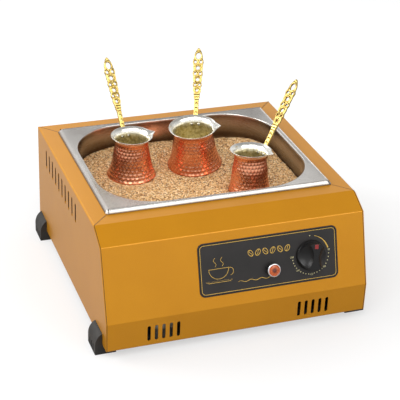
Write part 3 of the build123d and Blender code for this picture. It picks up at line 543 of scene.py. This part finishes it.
def hammered(bm, pot):
    """Presses the dents, pulls the spout and paints where the tin is."""
    tin = bm.verts.layers.float.new("tin")
    pressed = bm.verts.layers.float.new("press")
    tall, spout = pot["height"], radians(pot["spout"])
    neck_z = neck_share * tall
    for vert in bm.verts:
        vert.normal_update()
    for vert in bm.verts:
        radius = hypot(vert.co.x, vert.co.y)
        if radius < 0.5:
            vert[tin] = float(vert.co.z > pot_wall / 2)
            continue
        angle = atan2(vert.co.y, vert.co.x)
        outward = Vector((vert.co.x, vert.co.y, 0)) / radius
        outside = vert.normal.dot(outward) > 0 and vert.co.z > 0.8
        inside = not outside and vert.co.z > pot_wall / 2
        band = smooth_step((vert.co.z - neck_z + 0.6) / 0.8)
        vert[tin] = 1.0 if inside else band
        if outside or inside:
            wobble = noise.noise(vert.co * 0.22) * 1.1
            low = smooth_step((vert.co.z - 1.5) / 2) * smooth_step((neck_z - 1.5 - vert.co.z) / 2)
            press = dent(vert.co.z + wobble * 0.3, angle * pot["neck"] + wobble * 0.5) * low
            vert[pressed] = press
            vert.co -= outward * press * dent_depth * (1.0 if outside else 0.6)
        turn = (angle - spout + pi) % (2 * pi) - pi
        share = smooth_step((vert.co.z - neck_z + 1.5) / (tall - neck_z + 1.5))
        if share > 0 and abs(turn) < spout_half:
            vert.co += outward * spout_pull(pot, turn) * share
    return bm


def stained(bm, pot):
    """Paints how deep inside the pot each place is, where the tin is stained."""
    stain_top, stain_fade, floor_reach = 4, 8, 20
    deep = bm.verts.layers.float.new("depth")
    for vert in bm.verts:
        reach = hypot(vert.co.x, vert.co.y)
        wall = vert.normal.x * vert.co.x + vert.normal.y * vert.co.y
        share = (pot["height"] - vert.co.z - stain_top) / stain_fade
        vert[deep] = smooth_step(share) if wall < 0 or reach < floor_reach else 0.0
    return bm


print("dents round a neck", round(2 * pi * pots[0]["neck"] / dent_pitch))

# %% [markdown]
# ### Copper and tin
# Outside, the copper is warm and clouded, with a painted highlight in each dent. The lip and the
# inside carry
# a coat of tin: bright on the lip, and stained olive and brown inside. Painted values on the shell
# say where tin, stain and dents are, and the finish blends by them.

# %% Finish of the pots
def pot_finish():
    metal = Finish("hammered_copper", (214, 108, 66), metallic=1.0, roughness=0.2)
    tin = metal.attribute("tin")
    deep = metal.attribute("depth")
    press = metal.attribute("press")
    cloud = metal.noise(9, 4.0)
    fine = metal.noise(1.1, 3.0)
    copper = metal.mix(cloud.ramp(0.3, 0.7), (216, 128, 92), (234, 157, 119))
    # Painted highlight: each dent is lightened towards a pale copper.
    copper = metal.mix(press * 0.5, copper, (255, 200, 166))
    stain = metal.noise(5, 5.0, 0.6)
    bright = metal.mix(fine.ramp(0.3, 0.7), (222, 220, 212), (246, 244, 238))
    dull = metal.mix(stain.ramp(0.38, 0.62), (200, 184, 128), (254, 244, 206))
    lining = metal.mix(deep, bright, dull)
    colour = metal.mix(tin, copper, lining)
    rough = (fine * 0.1 + cloud * 0.08 + 0.16) + deep * 0.2
    return metal.feed(base_color=colour, roughness=rough).bump(fine, 0.012)


hammered_copper = pot_finish()

for number, pot in enumerate(pots, start=1):
    shell = stained(hammered(pot_shell(pot), pot), pot)
    finished(f"pot_{number}_shell", settled(shell, pot_frame(pot)), hammered_copper,
             f"cezve_{number}", replaces=[f"cezve_{number}_body"])

# %% [markdown]
# ## The handles
# Each handle is cast brass: a pad riveted to the neck, a beaded stem, and an openwork blade with
# rings round its holes. A casting has soft edges and a raised relief, which a cut plate hasn't. The
# CAD solid already has the outline and the holes, so a copy of it is remeshed into small even
# faces, and the relief is pushed up from it: beads down the stem and a ridge round each hole.

# %% Relief of a handle
handle_length, handle_drop, handle_voxel = 116.0, 11.5, 0.5
blade_end, collars_end, beads_end, pad_start = 72, 84, 104, 106
collar_pitch, bead_pitch = 4.0, 7.0
eye_along, eye_half_width, eye_half_length = 12.4, 3.9, 5.2
holes = [(21.7, 2.2, 4.1), (31.2, 3.0, 0.0), (40.2, 2.0, 3.8), (49.2, 2.7, 0.0),
         (57.4, 1.8, 3.4), (66.0, 2.1, 0.0)]
rings = [(side * apart, along, size) for along, size, apart in holes for side in (-1, 1)]


def ridge(distance, middle, width):
    """A rounded rise, 1 high in its middle."""
    return max(0.0, 1 - ((distance - middle) / width) ** 2)


def relief(across, along):
    """Height of the relief in millimetres; along counts from the handle's tip."""
    if along > collars_end:
        bead = ridge((along - collars_end) % bead_pitch, bead_pitch / 2, 2.4)
        return 0.45 * bead * ridge(across, 0, 2.0) if along < beads_end else 0.0
    if along > blade_end:
        return 0.35 * ridge((along - blade_end) % collar_pitch, collar_pitch / 2, 1.6)
    height = -0.35
    for x, y, size in rings:
        near = hypot(across - x, along - y) - size
        height = max(height, 0.55 * ridge(near, 0.9, 0.9) - 0.2)
    eye = hypot(across / eye_half_width, (along - eye_along) / eye_half_length)
    return max(height, 0.6 * ridge(eye, 1.22, 0.24) - 0.2)


def cast_handle(number, pot):
    """The handle's solid, remeshed, softened and given its relief."""
    bm = bmesh.new()
    bm.from_mesh(frame["nodes"][f"cezve_{number}_handle"].data)
    bmesh.ops.remove_doubles(bm, verts=bm.verts, dist=1e-6)
    blank = placed("blank", settled(bm, Matrix()))
    blank.modifiers.new("even", "REMESH").voxel_size = handle_voxel * MM
    blank.modifiers.new("soften", "SMOOTH").iterations = 2
    mesh = worked_out(blank)
    tilt = radians(pot["tilt"])
    up = Vector((sin(tilt), 0, cos(tilt)))
    out = Vector((cos(tilt), 0, -sin(tilt)))
    origin = Vector((pot["neck"] + pot_wall, 0, pot["height"] - handle_drop))
    there = pot_frame(pot)
    home = there.inverted()
    for vert in mesh.vertices:
        local = home @ vert.co - origin
        along = handle_length - local.dot(up)
        depth = local.dot(out)
        if along < pad_start:
            lift = relief(local.y, along) * smooth_step((abs(depth) - 0.9) / 0.6)
            local += out * (lift if depth > 0 else -lift)
            vert.co = there @ (local + origin)
    return mesh


# %% [markdown]
# ### Polished brass
# Cast brass is pale gold where it is polished and darker in its hollows, where the polish never
# reaches. A noise of a few millimetres stands for that uneven polish.

# %% Finish and handles
def brass_finish():
    brass = Finish("cast_brass", (232, 208, 128), metallic=1.0, roughness=0.24)
    cloud = brass.noise(3.5, 3.0)
    fine = brass.noise(0.7, 3.0)
    hollow = brass.node("NewGeometry", {}, "Pointiness")
    colour = brass.mix(cloud.ramp(0.3, 0.72), (192, 162, 84), (224, 200, 126))
    colour = brass.mix(hollow.ramp(0.475, 0.505), (92, 66, 24), colour)
    return brass.feed(base_color=colour, roughness=fine * 0.2 + 0.14).bump(fine, 0.05)


cast_brass = brass_finish()
tinned = sheet_metal("rivet_tin", (176, 172, 158), (216, 212, 200), 0.3, 3)
for number, pot in enumerate(pots, start=1):
    finished(f"pot_{number}_cast_handle", cast_handle(number, pot), cast_brass,
             f"cezve_{number}", replaces=[f"cezve_{number}_handle"])
    dress(f"cezve_{number}_rivets", tinned)

# %% [markdown]
# ## Sand
# The bed is coarse washed sand, raked nearly level, with a low dish round each pot. It is a fine
# grid trimmed to the pan's rounded mouth. Noise of three sizes gives the rake marks, the lumps and
# the grains, and under each pot the grid drops to the pot's own base, so a pot leaves its print.

# %% Surface of the sand
mouth_width, mouth_depth, mouth_corner = 303.0, 247.0, 78.0
wall_slope = tan(radians(3.5))
pan_place = upright(pan_middle_y)
sand_grid, sand_gap = 1.35, 0.3
skirt_share, skirt_depth = 0.97, 28.0
dish_width, dish_rise, print_gap = 17.0, 1.2, 0.4
drifts = [(70.0, 100.0, 80.0, -7.0), (-50.0, 110.0, 50.0, 3.0)]


def mouth_distance(x, y):
    """How far a place lies outside the edge of the sand, and which way is out."""
    draw = (rim_z - sand_z) * wall_slope + sand_gap
    radius = mouth_corner - draw
    across, along = mouth_width / 2 - draw - radius, mouth_depth / 2 - draw - radius
    corner = Vector((max(abs(x) - across, 0.0), max(abs(y) - along, 0.0)))
    inner = min(max(abs(x) - across, abs(y) - along), 0.0)
    way = corner.normalized()
    return corner.length + inner - radius, Vector((copysign(way.x, x), copysign(way.y, y)))


def pot_distance(pot, x, y):
    """How far a place on the sand lies outside a pot's base."""
    return (Vector((x, y + pan_middle_y)) - Vector((pot["x"], pot["y"]))).length - pot["base"]


def pot_floor(pot, x, y):
    """Height of the plane of a pot's base at a place on the sand."""
    there = pot_frame(pot)
    foot, up = there.translation, there.to_3x3() @ Vector((0, 0, 1 / MM))
    away = spot(x, y + pan_middle_y, 0) - foot
    return (foot.z - (away.x * up.x + away.y * up.y) / up.z) / MM


def sand_height(x, y):
    """Height of the surface in millimetres, with the pots' prints."""
    place = Vector((x, y, 0))
    height = noise.noise(place / 38) * 1.6 + noise.noise(place / 9 + Vector((7, 3, 1))) * 0.9
    height += sand_z
    for middle_x, middle_y, reach, rise in drifts:
        away = hypot(x - middle_x, y - middle_y)
        height += rise * smooth_step(1 - away / reach)
    grain = noise.noise(place / 2.6 + Vector((1, 9, 4))) * 0.55
    for pot in pots:
        edge = pot_distance(pot, x, y)
        if edge < 0:
            return pot_floor(pot, x, y) - print_gap
        if edge < dish_width:
            share = smooth_step(1 - edge / dish_width)
            height += (pot_floor(pot, x, y) + dish_rise - height) * share
    return height + grain


def sand_mesh():
    bm = bmesh.new()
    bmesh.ops.create_grid(bm, x_segments=int(mouth_width / sand_grid),
                          y_segments=int(mouth_depth / sand_grid), size=0.5)
    for vert in bm.verts:
        vert.co.x *= mouth_width
        vert.co.y *= mouth_depth
    outside = [vert for vert in bm.verts if mouth_distance(vert.co.x, vert.co.y)[0] > 1.2]
    bmesh.ops.delete(bm, geom=outside, context="VERTS")
    for vert in bm.verts:
        away, way = mouth_distance(vert.co.x, vert.co.y)
        if away > -0.7:
            vert.co.x -= way.x * away
            vert.co.y -= way.y * away
    for vert in bm.verts:
        vert.co.z = sand_height(vert.co.x, vert.co.y)
    rim = [edge for edge in bm.edges if edge.is_boundary]
    skirt = bmesh.ops.extrude_edge_only(bm, edges=rim)["geom"]
    for vert in skirt:
        if isinstance(vert, bmesh.types.BMVert):
            vert.co = Vector((vert.co.x * skirt_share, vert.co.y * skirt_share,
                              sand_z - skirt_depth))
    bmesh.ops.holes_fill(bm, edges=[edge for edge in bm.edges if edge.is_boundary], sides=0)
    bmesh.ops.recalc_face_normals(bm, faces=bm.faces)
    return settled(bm, pan_place)


print("sand in the middle of the pan", round(sand_height(0, 0), 1), "mm up")

# %% [markdown]
# ### Colour of the sand
# Close to, sand is grains of several colours: mostly tan, some nearly white, some dark brown. A
# cell pattern gives every grain its own random number, and a ramp turns that into a colour.

# %% Sand finish
def sand_finish():
    sand = Finish("coffee_sand", (206, 160, 108), roughness=0.85)
    grain = sand.cells(1.5, output="Color")
    value = sand.node("SeparateColor", {0: grain})
    stops = [(0.0, (38, 17, 6)), (0.17, (104, 56, 21)), (0.24, (178, 123, 66)),
             (0.5, (208, 158, 98)), (0.78, (232, 196, 140)), (1.0, (250, 232, 196))]
    colour = sand.node("ValToRGB", {0: value}, "Color", stops=stops)
    lumps = sand.noise(2.4, 3.0)
    shade = sand.mix(lumps.ramp(0.3, 0.55), (144, 94, 46), (228, 186, 130))
    colour = sand.mix(0.12, colour, shade)
    near = sand.cells(1.5)
    return sand.feed(base_color=colour).bump((1 - near) + lumps * 0.8, 0.8)


coffee_sand = sand_finish()
finished("sand_surface", sand_mesh(), coffee_sand, "pan", replaces=["sand_bed"])

# %% [markdown]
# ### Loose grains
# Over a thousand coarse grains lie on the bed as real shapes, so that the surface breaks up the
# light close to the eye. Each grain is a small ball with few faces, squashed and turned at random.
# The random numbers start from a fixed seed, so the bed is the same each time.

# %% Grains on the bed
grain_draws = 1800


def loose_grains():
    random.seed(11)
    bm = bmesh.new()
    for index in range(grain_draws):
        x, y = random.uniform(-148, 148), random.uniform(-120, 120)
        size = random.uniform(0.45, 0.85)
        turn = random.uniform(0, pi)
        on_sand = all(pot_distance(pot, x, y) > 1.5 for pot in pots)
        if on_sand and mouth_distance(x, y)[0] < -1.5:
            place = (Matrix.Translation((x, y, sand_height(x, y) + 0.2 * size))
                     @ Matrix.Rotation(turn, 4, "Z") @ Matrix.Diagonal((1.3, 1.0, 0.8, 1)))
            bmesh.ops.create_icosphere(bm, subdivisions=1, radius=size, matrix=place)
    return settled(bm, pan_place)


finished("sand_loose_grains", loose_grains(), coffee_sand, "pan")

# %% [markdown]
# ## The pan
# The pan is deep-drawn stainless sheet. Its border is pressed flat, a small step runs round inside
# the edge, and the edge itself is rolled down over the housing. Each height of the pan is one
# rounded rectangle: a plain face with its corners bevelled. Bridging them in turn makes the sheet,
# and a Solidify modifier gives it its thickness. Below the border the steel is painted brown, a
# painted reflection of the sand. A pale painted reflection band runs round under the border, and a
# painted contact shadow makes a dark line where the sand ends.

# %% Shape of the pan
flange_width, flange_depth, flange_corner = 325.0, 265.0, 4.0
wall_depth, floor_radius, pan_sheet = 84, 15, 1.0


def rounded_outline(bm, width, depth, radius, z, steps=14):
    """The edges of a rounded rectangle at a height."""
    place = Matrix.Translation((0, 0, z)) @ Matrix.Diagonal((width, depth, 1, 1))
    made = bmesh.ops.create_grid(bm, x_segments=1, y_segments=1, size=0.5, matrix=place)
    made = bmesh.ops.bevel(bm, geom=made["verts"], offset=radius, offset_type="OFFSET",
                           affect="VERTICES", segments=steps, profile=0.5, material=-1)
    face = next(iter(made["verts"][0].link_faces))
    edges = list(face.edges)
    bmesh.ops.delete(bm, geom=[face], context="FACES_ONLY")
    return edges


def mouth_outline(less, z):
    """The mouth's own outline, this much narrower, at a height."""
    return mouth_width - less, mouth_depth - less, mouth_corner - less / 2, z


def pan_outlines():
    """Size, corner radius and height of each outline, from the rolled edge in to the floor."""
    flange = [(0.0, -5.9), (0.3, -5.3), (4.2, -2.6), (8.2, -0.35), (9.2, 0.0), (10.0, -0.05),
              (10.7, -0.6), (11.4, -0.7)]
    outlines = [(flange_width - less, flange_depth - less, flange_corner, rim_z + up)
                for less, up in flange]
    mouth = [(3.4, -0.7), (1.6, -1.0), (0.4, -1.8), (0.0, -3.0)]
    outlines += [mouth_outline(-more, rim_z + up) for more, up in mouth]
    for down in (10, 22, 36, 60, wall_depth):
        less = 2 * down * wall_slope
        outlines.append(mouth_outline(less, rim_z - down))
    for turn in (22, 45, 68, 90):
        inset = less + 2 * floor_radius * (1 - cos(radians(turn)))
        low = rim_z - wall_depth - floor_radius * sin(radians(turn))
        outlines.append(mouth_outline(inset, low))
    return outlines


def pan_mesh():
    bm = bmesh.new()
    before = None
    for width, depth, radius, z in pan_outlines():
        edges = rounded_outline(bm, width, depth, radius, z)
        if before:
            bmesh.ops.bridge_loops(bm, edges=before + edges)
        before = edges
    bmesh.ops.contextual_create(bm, geom=before)
    bmesh.ops.recalc_face_normals(bm, faces=bm.faces)
    floor = min(bm.faces, key=lambda face: face.calc_center_median().z)
    if floor.normal.z < 0:
        bmesh.ops.reverse_faces(bm, faces=bm.faces)
    return settled(bm, pan_place)


def pan_finish():
    steel = Finish("pan_steel", (206, 200, 192), metallic=1.0, roughness=0.26)
    height = steel.node("SeparateXYZ", {0: steel.place}, "Z") * (1 / MM)
    # Painted reflection: below the border the steel is painted brown, for the sand that it
    # reflects.
    sand_reflection_share = height.ramp(rim_z - 2.2, rim_z - 5)
    # A painted reflection band runs under the border, and a painted contact shadow darkens the wall
    # at the sand.
    painted_reflection_band = height.ramp(151, 159) * height.ramp(171, 164)
    painted_contact_shadow = height.ramp(136, 140) * height.ramp(150, 144)
    patches = steel.noise(50, 3.0)
    brushed = steel.noise(1.4, 2.0, 0.6, (1, 10, 10))
    clean = steel.mix(patches.ramp(0.35, 0.65), (194, 189, 184), (210, 206, 201))
    brown = steel.mix(patches.ramp(0.3, 0.7), (116, 104, 90), (138, 124, 108))
    wall_with_painted_light = steel.mix(painted_reflection_band * 0.8, brown, (176, 164, 150))
    wall_with_painted_light = steel.mix(painted_contact_shadow * 0.75, wall_with_painted_light, (66, 50, 36))
    colour = steel.mix(sand_reflection_share, clean, wall_with_painted_light)
    return steel.feed(base_color=colour, roughness=brushed * 0.14 + 0.2).bump(brushed, 0.01)


pan = finished("pan_pressing", pan_mesh(), pan_finish(), "pan",
               replaces=["gn_pan"])
pan.data.set_sharp_from_angle(angle=radians(50))
thick = pan.modifiers.new("sheet", "SOLIDIFY")
thick.thickness = pan_sheet * MM
thick.offset = -1.0

# %% [markdown]
# ## Printing on the label
# The plate carries a thin gold border, a small drawing, and the dial: a dot for off, a tail that
# grows towards hot, and numbers with dots between them. Print has almost no thickness, so each
# line is a curve with a round section that is flattened to a tenth of a millimetre.

# %% Printed lines
print_height = 0.1


def add_print(bm, curve, squeeze=1.0, x=0.0, y=0.0):
    """Makes a curve or a text a mesh, flattens it, moves it and adds it to the print."""
    mesh = worked_out(placed(curve.name, curve))
    mesh.transform(Matrix.Translation((x, y, 0)) @ Matrix.Diagonal((1, 1, squeeze, 1)))
    bm.from_mesh(mesh)
    bpy.data.meshes.remove(mesh)


def stroke(bm, points, width, closed=False):
    """Adds a flat line through points; a third value makes it thinner or thicker there."""
    curve = bpy.data.curves.new("stroke", "CURVE")
    curve.dimensions = "3D"
    curve.bevel_depth = width / 2
    curve.bevel_resolution = 1
    line = curve.splines.new("POLY")
    line.points.add(len(points) - 1)
    for dot, point in zip(line.points, points):
        dot.co = (point[0], point[1], 0.0, 1.0)
        dot.radius = point[2] if len(point) > 2 else 1.0
    line.use_cyclic_u = closed
    add_print(bm, curve, print_height / width)


def numeral(bm, text, x, y, size):
    words = bpy.data.curves.new("number", "FONT")
    words.body, words.size, words.extrude = text, size, print_height / 2
    words.align_x, words.align_y = "CENTER", "CENTER"
    add_print(bm, words, 1.0, x, y)


def arc(x, y, radius, start, end, steps, thin=1.0, thick=1.0):
    """Points clockwise from straight up, in degrees."""
    points = []
    for step in range(steps + 1):
        share = step / steps
        turn = radians(start + (end - start) * share)
        points.append((x + radius * sin(turn), y + radius * cos(turn),
                       thin + (thick - thin) * share))
    return points


# %% [markdown]
# ### Border, cup and beans
# The drawing is a plain coffee cup on its saucer with two wisps of steam, and a row of beans fills
# the middle of the plate. All of it is placed from the plate's middle, in millimetres.

# %% Gold print
label_x, label_up, knob_across = 44.0, 53.5, 60.3
plate_width, plate_height, plate_face = 200.0, 73.0, 0.8


def border(bm, inset, corner, line):
    """A closed line with round corners, this far in from the edge of the plate."""
    across, along = plate_width / 2 - inset - corner, plate_height / 2 - inset - corner
    outline = []
    for turn, sx, sy in ((0, 1, 1), (90, 1, -1), (180, -1, -1), (270, -1, 1)):
        outline += arc(sx * across, sy * along, corner, turn, turn + 90, 8)
    stroke(bm, outline, line, closed=True)


def cup(bm, x, y):
    stroke(bm, arc(x, y + 9, 14, 90, 270, 24), 0.6)
    stroke(bm, [(x - 14, y + 9), (x + 14, y + 9)], 0.6)
    stroke(bm, arc(x + 15.5, y + 3.5, 5.2, -10, 170, 16), 0.6)
    stroke(bm, [(x - 19, y - 7.5), (x - 15, y - 9.5), (x + 15, y - 9.5), (x + 19, y - 7.5)], 0.6,
           closed=True)
    for side in (-5, 5):
        wisp = [(x + side + 1.8 * sin(step * 0.55), y + 12 + step) for step in range(13)]
        stroke(bm, wisp, 0.55)


def bean(bm, x, y, tilt):
    def turned(across, along):
        return (x + across * cos(tilt) - along * sin(tilt),
                y + across * sin(tilt) + along * cos(tilt))

    turns = [2 * pi * step / 28 for step in range(28)]
    stroke(bm, [turned(3.1 * cos(turn), 4.6 * sin(turn)) for turn in turns], 0.8, closed=True)
    stroke(bm, [turned(0.7 * sin(step * 0.9), -4.2 + step * 1.2) for step in range(8)], 0.7)


def gold_print():
    bean_count, bean_pitch, bean_tilt = 6, 10.6, radians(32)
    wave_start, wave_length = -46, 56
    bm = bmesh.new()
    border(bm, 3.2, 5.2, 0.7)
    cup(bm, -72, -9)
    for index in range(bean_count):
        bean(bm, -26 + index * bean_pitch, 14.5, -bean_tilt if index % 2 else bean_tilt)
    stroke(bm, [(wave_start + step, -22 + 1.1 * sin(step * 0.42),
                 0.4 + 0.6 * sin(pi * step / wave_length)) for step in range(wave_length + 1)], 0.8)
    stroke(bm, arc(knob_across, 0, 26.5, 14, 76, 24, 0.25, 1.0), 2.1)
    return settled(bm, panel_frame(label_x, label_up, plate_face + 0.02))


# %% [markdown]
# ### Dial, dark edge and lens lip
# The dial's numbers stand in a circle round the knob, with four dots between each two. A dark band
# stands for the cut edge of the plate, and a thin ring for the lip of the lens.

# %% Dial, edge and lip
number_radius, number_size, dot_radius = 27.2, 3.4, 26.6
lip_radius, lip_width, lip_depth = 7.3, 1.1, 0.52


def on_dial(turn, radius):
    return knob_across + radius * sin(radians(turn)), radius * cos(radians(turn))


def dial_print():
    bm = bmesh.new()
    marks = [(82, "50"), (135, "100"), (180, "150"), (225, "200"), (270, "250")]
    for turn, text in marks:
        numeral(bm, text, *on_dial(turn, number_radius), number_size)
    dots = [0.0]
    for (start, _), (end, _) in zip(marks, marks[1:]):
        dots += [start + (end - start) * step / 5 for step in range(1, 5)]
    for turn in dots:
        stroke(bm, arc(*on_dial(turn, dot_radius), 0.4, 0, 360, 8), 0.85)
    return settled(bm, panel_frame(label_x, label_up, plate_face + 0.04))


def ink(name, colour):
    print_ink = Finish(name, colour, roughness=0.4)
    grain = print_ink.noise(0.6, 2.0)
    shade = tuple(channel * 0.86 for channel in colour)
    return print_ink.feed(base_color=print_ink.mix(grain.ramp(0.3, 0.7), shade, colour))


def inked(name, mesh, ink_name, colour, body="root"):
    """Makes a piece in one ink."""
    finished(name, mesh, ink(ink_name, colour), body, smooth=False)


def lens_lip():
    bm = bmesh.new()
    stroke(bm, arc(0, 0, lip_radius, 0, 360, 40), lip_width)
    place = Matrix.Translation(lens_crown() - panel_out * lip_depth * MM)
    return settled(bm, place @ panel_frame(0, 0).to_3x3().to_4x4())


def edge_band():
    bm = bmesh.new()
    border(bm, 1.3, 7.0, 1.9)
    return settled(bm, panel_frame(label_x, label_up, plate_face + 0.01))


finished("lamp_lens_lip", lens_lip(), lamp_amber, "root", smooth=False)
inked("label_edge_band", edge_band(), "edge_ink", (22, 17, 14))
inked("gold_print", gold_print(), "gold_ink", (232, 188, 84))
inked("dial_print", dial_print(), "pale_ink", (222, 212, 160))

# %% [markdown]
# ## The mark on the knob
# A red enamel mark on the upper end of the grip shows where the knob points. It is a small plate
# with bevelled edges that stands a fifth of a millimetre proud, and it turns with the knob.

# %% Red mark
knob_base, mark_turn = 1.6, radians(-8.0)
mark_size, mark_place = (5.2, 6.0, 0.5), (-0.6, 14.7, 17.95)


def red_mark():
    bm = bmesh.new()
    place = Matrix.Translation(mark_place) @ Matrix.Diagonal((*mark_size, 1))
    bmesh.ops.create_cube(bm, size=1.0, matrix=place)
    bmesh.ops.bevel(bm, geom=bm.edges[:], offset=0.15, affect="EDGES", segments=2, profile=0.5,
                    material=-1)
    face = panel_frame(label_x + knob_across, label_up, knob_base)
    return settled(bm, face @ Matrix.Rotation(mark_turn, 4, "Z"))


inked("knob_mark", red_mark(), "red_enamel", (150, 40, 40), "knob")

# %% [markdown]
# ## Seams of the folded sheets
# The side sheets meet the front and back sheets in narrow open seams: down the front corners, and
# across the top at a mitre. Each seam reads as a fine dark line. The cut edges of the side slots
# are painted dark too, a painted shade where the slots lie in shadow. A thin bar runs along each
# gap from one bend of the sheet to the next, and one as wide as the sheet is thick lies on each
# straight edge of a slot.

# %% Dark lines
housing_half, deck_z, sheet = 186.0, 170.5, 1.2
rim_front_y, rim_back_y = pan_middle_y - flange_depth / 2, pan_middle_y + flange_depth / 2
seam_x, seam_width, seam_rise, seam_back_y = housing_half - 1.3, 0.75, 0.12, 375.0
front_bends = [(0.0, 14.4), (0.0, panel_foot), (panel_run, panel_foot + panel_rise), (62.5, deck_z)]
slot_count, slot_pitch, slot_row_y = 10, 18.8, pan_middle_y + 21.5
slot_width, slot_straight, slot_foot = 5.5, 24.0, 128.4


def bars_mesh(bars):
    """Thin bars, each given by its start, its end, the way it faces and its width."""
    bm = bmesh.new()
    for start, end, out, width in bars:
        start, end, out = Vector(start), Vector(end), Vector(out).normalized()
        run = end - start
        turn = Matrix((run.cross(out).normalized(), run.normalized(), out)).transposed().to_4x4()
        place = Matrix.Translation((start + end) / 2) @ turn
        size = Matrix.Diagonal((width, run.length, seam_rise, 1))
        bmesh.ops.create_cube(bm, size=1.0, matrix=place @ size)
    bmesh.ops.recalc_face_normals(bm, faces=bm.faces)
    return settled(bm, upright(0))


def seam_bars():
    for side in (-1, 1):
        for (y_low, z_low), (y_high, z_high) in zip(front_bends, front_bends[1:]):
            yield ((side * seam_x, y_low, z_low), (side * seam_x, y_high, z_high),
                   (0, z_low - z_high, y_high - y_low), seam_width)
        for rim_y, edge_y in ((rim_front_y, front_bends[-1][0]), (rim_back_y, seam_back_y)):
            yield ((side * flange_width / 2, rim_y, deck_z), (side * seam_x, edge_y, deck_z),
                   (0, 0, 1), seam_width)


def slot_bars():
    for side in (-1, 1):
        for index in range(slot_count):
            middle = slot_row_y + (index - (slot_count - 1) / 2) * slot_pitch
            for end in (-1, 1):
                x, y = side * (housing_half - sheet / 2), middle + end * slot_width / 2
                yield (x, y, slot_foot), (x, y, slot_foot + slot_straight), (0, -end, 0), sheet


# Painted shade: dark bars on the slots' cut edges, where the slots lie in shadow.
inked("side_slot_edges", bars_mesh(slot_bars()), "edge_shadow", (84, 48, 22))
inked("housing_seams", bars_mesh(seam_bars()), "seam_shadow", (58, 32, 8))

# %% [markdown]
# ## Slits in the pan's rim
# The turned-down flanges meet near each corner. The blank is nicked there before it is folded, so
# a short slit shows across the front and back flanges.

# %% Corner slits
slit_x, slit_width = 158.4, 1.2
foot_in, foot_up, crest_in, crest_up = 0.1, -4.95, 4.1, -0.05


def slit_bars():
    for side in (-1, 1):
        for edge_y, inward in ((rim_front_y, 1), (rim_back_y, -1)):
            yield ((side * slit_x, edge_y + inward * foot_in, rim_z + foot_up),
                   (side * slit_x, edge_y + inward * crest_in, rim_z + crest_up),
                   (0, inward * (foot_up - crest_up), crest_in - foot_in), slit_width)


inked("pan_corner_slits", bars_mesh(slit_bars()), "slit_shadow", (52, 48, 44), "pan")

# %% [markdown]
# ## The rest of the stage
# A pale floor takes the soft shadow, and glows more away from the machine, so that it runs out
# into white. The dimmer glow close to the machine is a painted shadow all round it. The lamps are
# wide soft boxes, so that the metal shows broad pale shapes and the paint stays near its own
# colour.

# %% Floor, sky and lamps
floor_half = 6.0
shade_edge, white_edge = 0.24, 0.5
floor_glow, far_glow, mirrored_glow = 0.57, 0.14, 0.08
sky_light, sky_overhead = 0.52, 0.4


def floor_piece():
    pale = Finish("floor", (150, 150, 150), roughness=0.9, emission_color=(1, 1, 1, 1))
    camera_ray, glossy, through_glass = pale.rays()
    away = pale.node("VectorMath", {0: pale.place}, "Value", operation="LENGTH")
    # Painted shadow: the floor glows less near the machine, so it is darker all round it.
    glow = away.ramp(shade_edge, white_edge) * far_glow + floor_glow
    pale.feed(emission_strength=camera_ray * glow + (glossy + through_glass) * mirrored_glow)
    bm = bmesh.new()
    bmesh.ops.create_grid(bm, x_segments=1, y_segments=1, size=floor_half)
    mesh = settled(bm, Matrix())
    mesh.materials.append(pale.material)
    placed("floor", mesh)


def sky():
    """White to the camera and in reflections near the horizon, dimmer overhead."""
    world = bpy.data.worlds.new("sky")
    bpy.context.scene.world = world
    world.use_nodes = True
    air = Nodes(world.node_tree)
    camera_ray, glossy, through_glass = air.rays()
    place = air.node("TexCoord", {}, "Generated")
    height = air.node("SeparateXYZ", {0: place}, "Z")
    seen = air.node("MapRange", {
        "Value": height, "From Min": 0.2, "From Max": 0.75, "To Min": 1.0, "To Max": sky_overhead})
    either = air.node("Math", {0: glossy, 1: through_glass}, operation="MAXIMUM")
    shine = air.node("Mix", {0: either, 2: sky_light, 3: seen})
    total = air.node("Mix", {0: camera_ray, 2: shine, 3: 1.0})
    back = next(node for node in air.tree.nodes if node.type == "BACKGROUND")
    back.inputs["Color"].default_value = (1, 1, 1, 1)
    air.tree.links.new(total.socket, back.inputs["Strength"])


def soft_box(name, place, aim, width, height, watts):
    lamp = bpy.data.lights.new(name, "AREA")
    lamp.shape, lamp.size, lamp.size_y, lamp.energy = "RECTANGLE", width, height, watts
    look = (Vector(aim) - Vector(place)).to_track_quat("-Z", "Y")
    placed(name, lamp).matrix_world = Matrix.Translation(place) @ look.to_matrix().to_4x4()


floor_piece()
sky()
lamps = [("key", (-0.9, -1.2, 1.75), (0, 0, 0.12), 1.6, 1.2, 26),
         ("front", (0.8, -1.7, 1.7), (0, 0, 0.1), 1.6, 1.1, 17),
         ("left", (-1.6, 0.4, 1.0), (0, 0, 0.1), 1.0, 0.8, 21),
         ("back", (-0.3, 1.8, 1.7), (0, 0, 0.1), 1.2, 0.7, 5)]
for lamp in lamps:
    soft_box(*lamp)
bpy.context.scene.view_settings.view_transform = "Standard"
print("lamps", len(lamps))
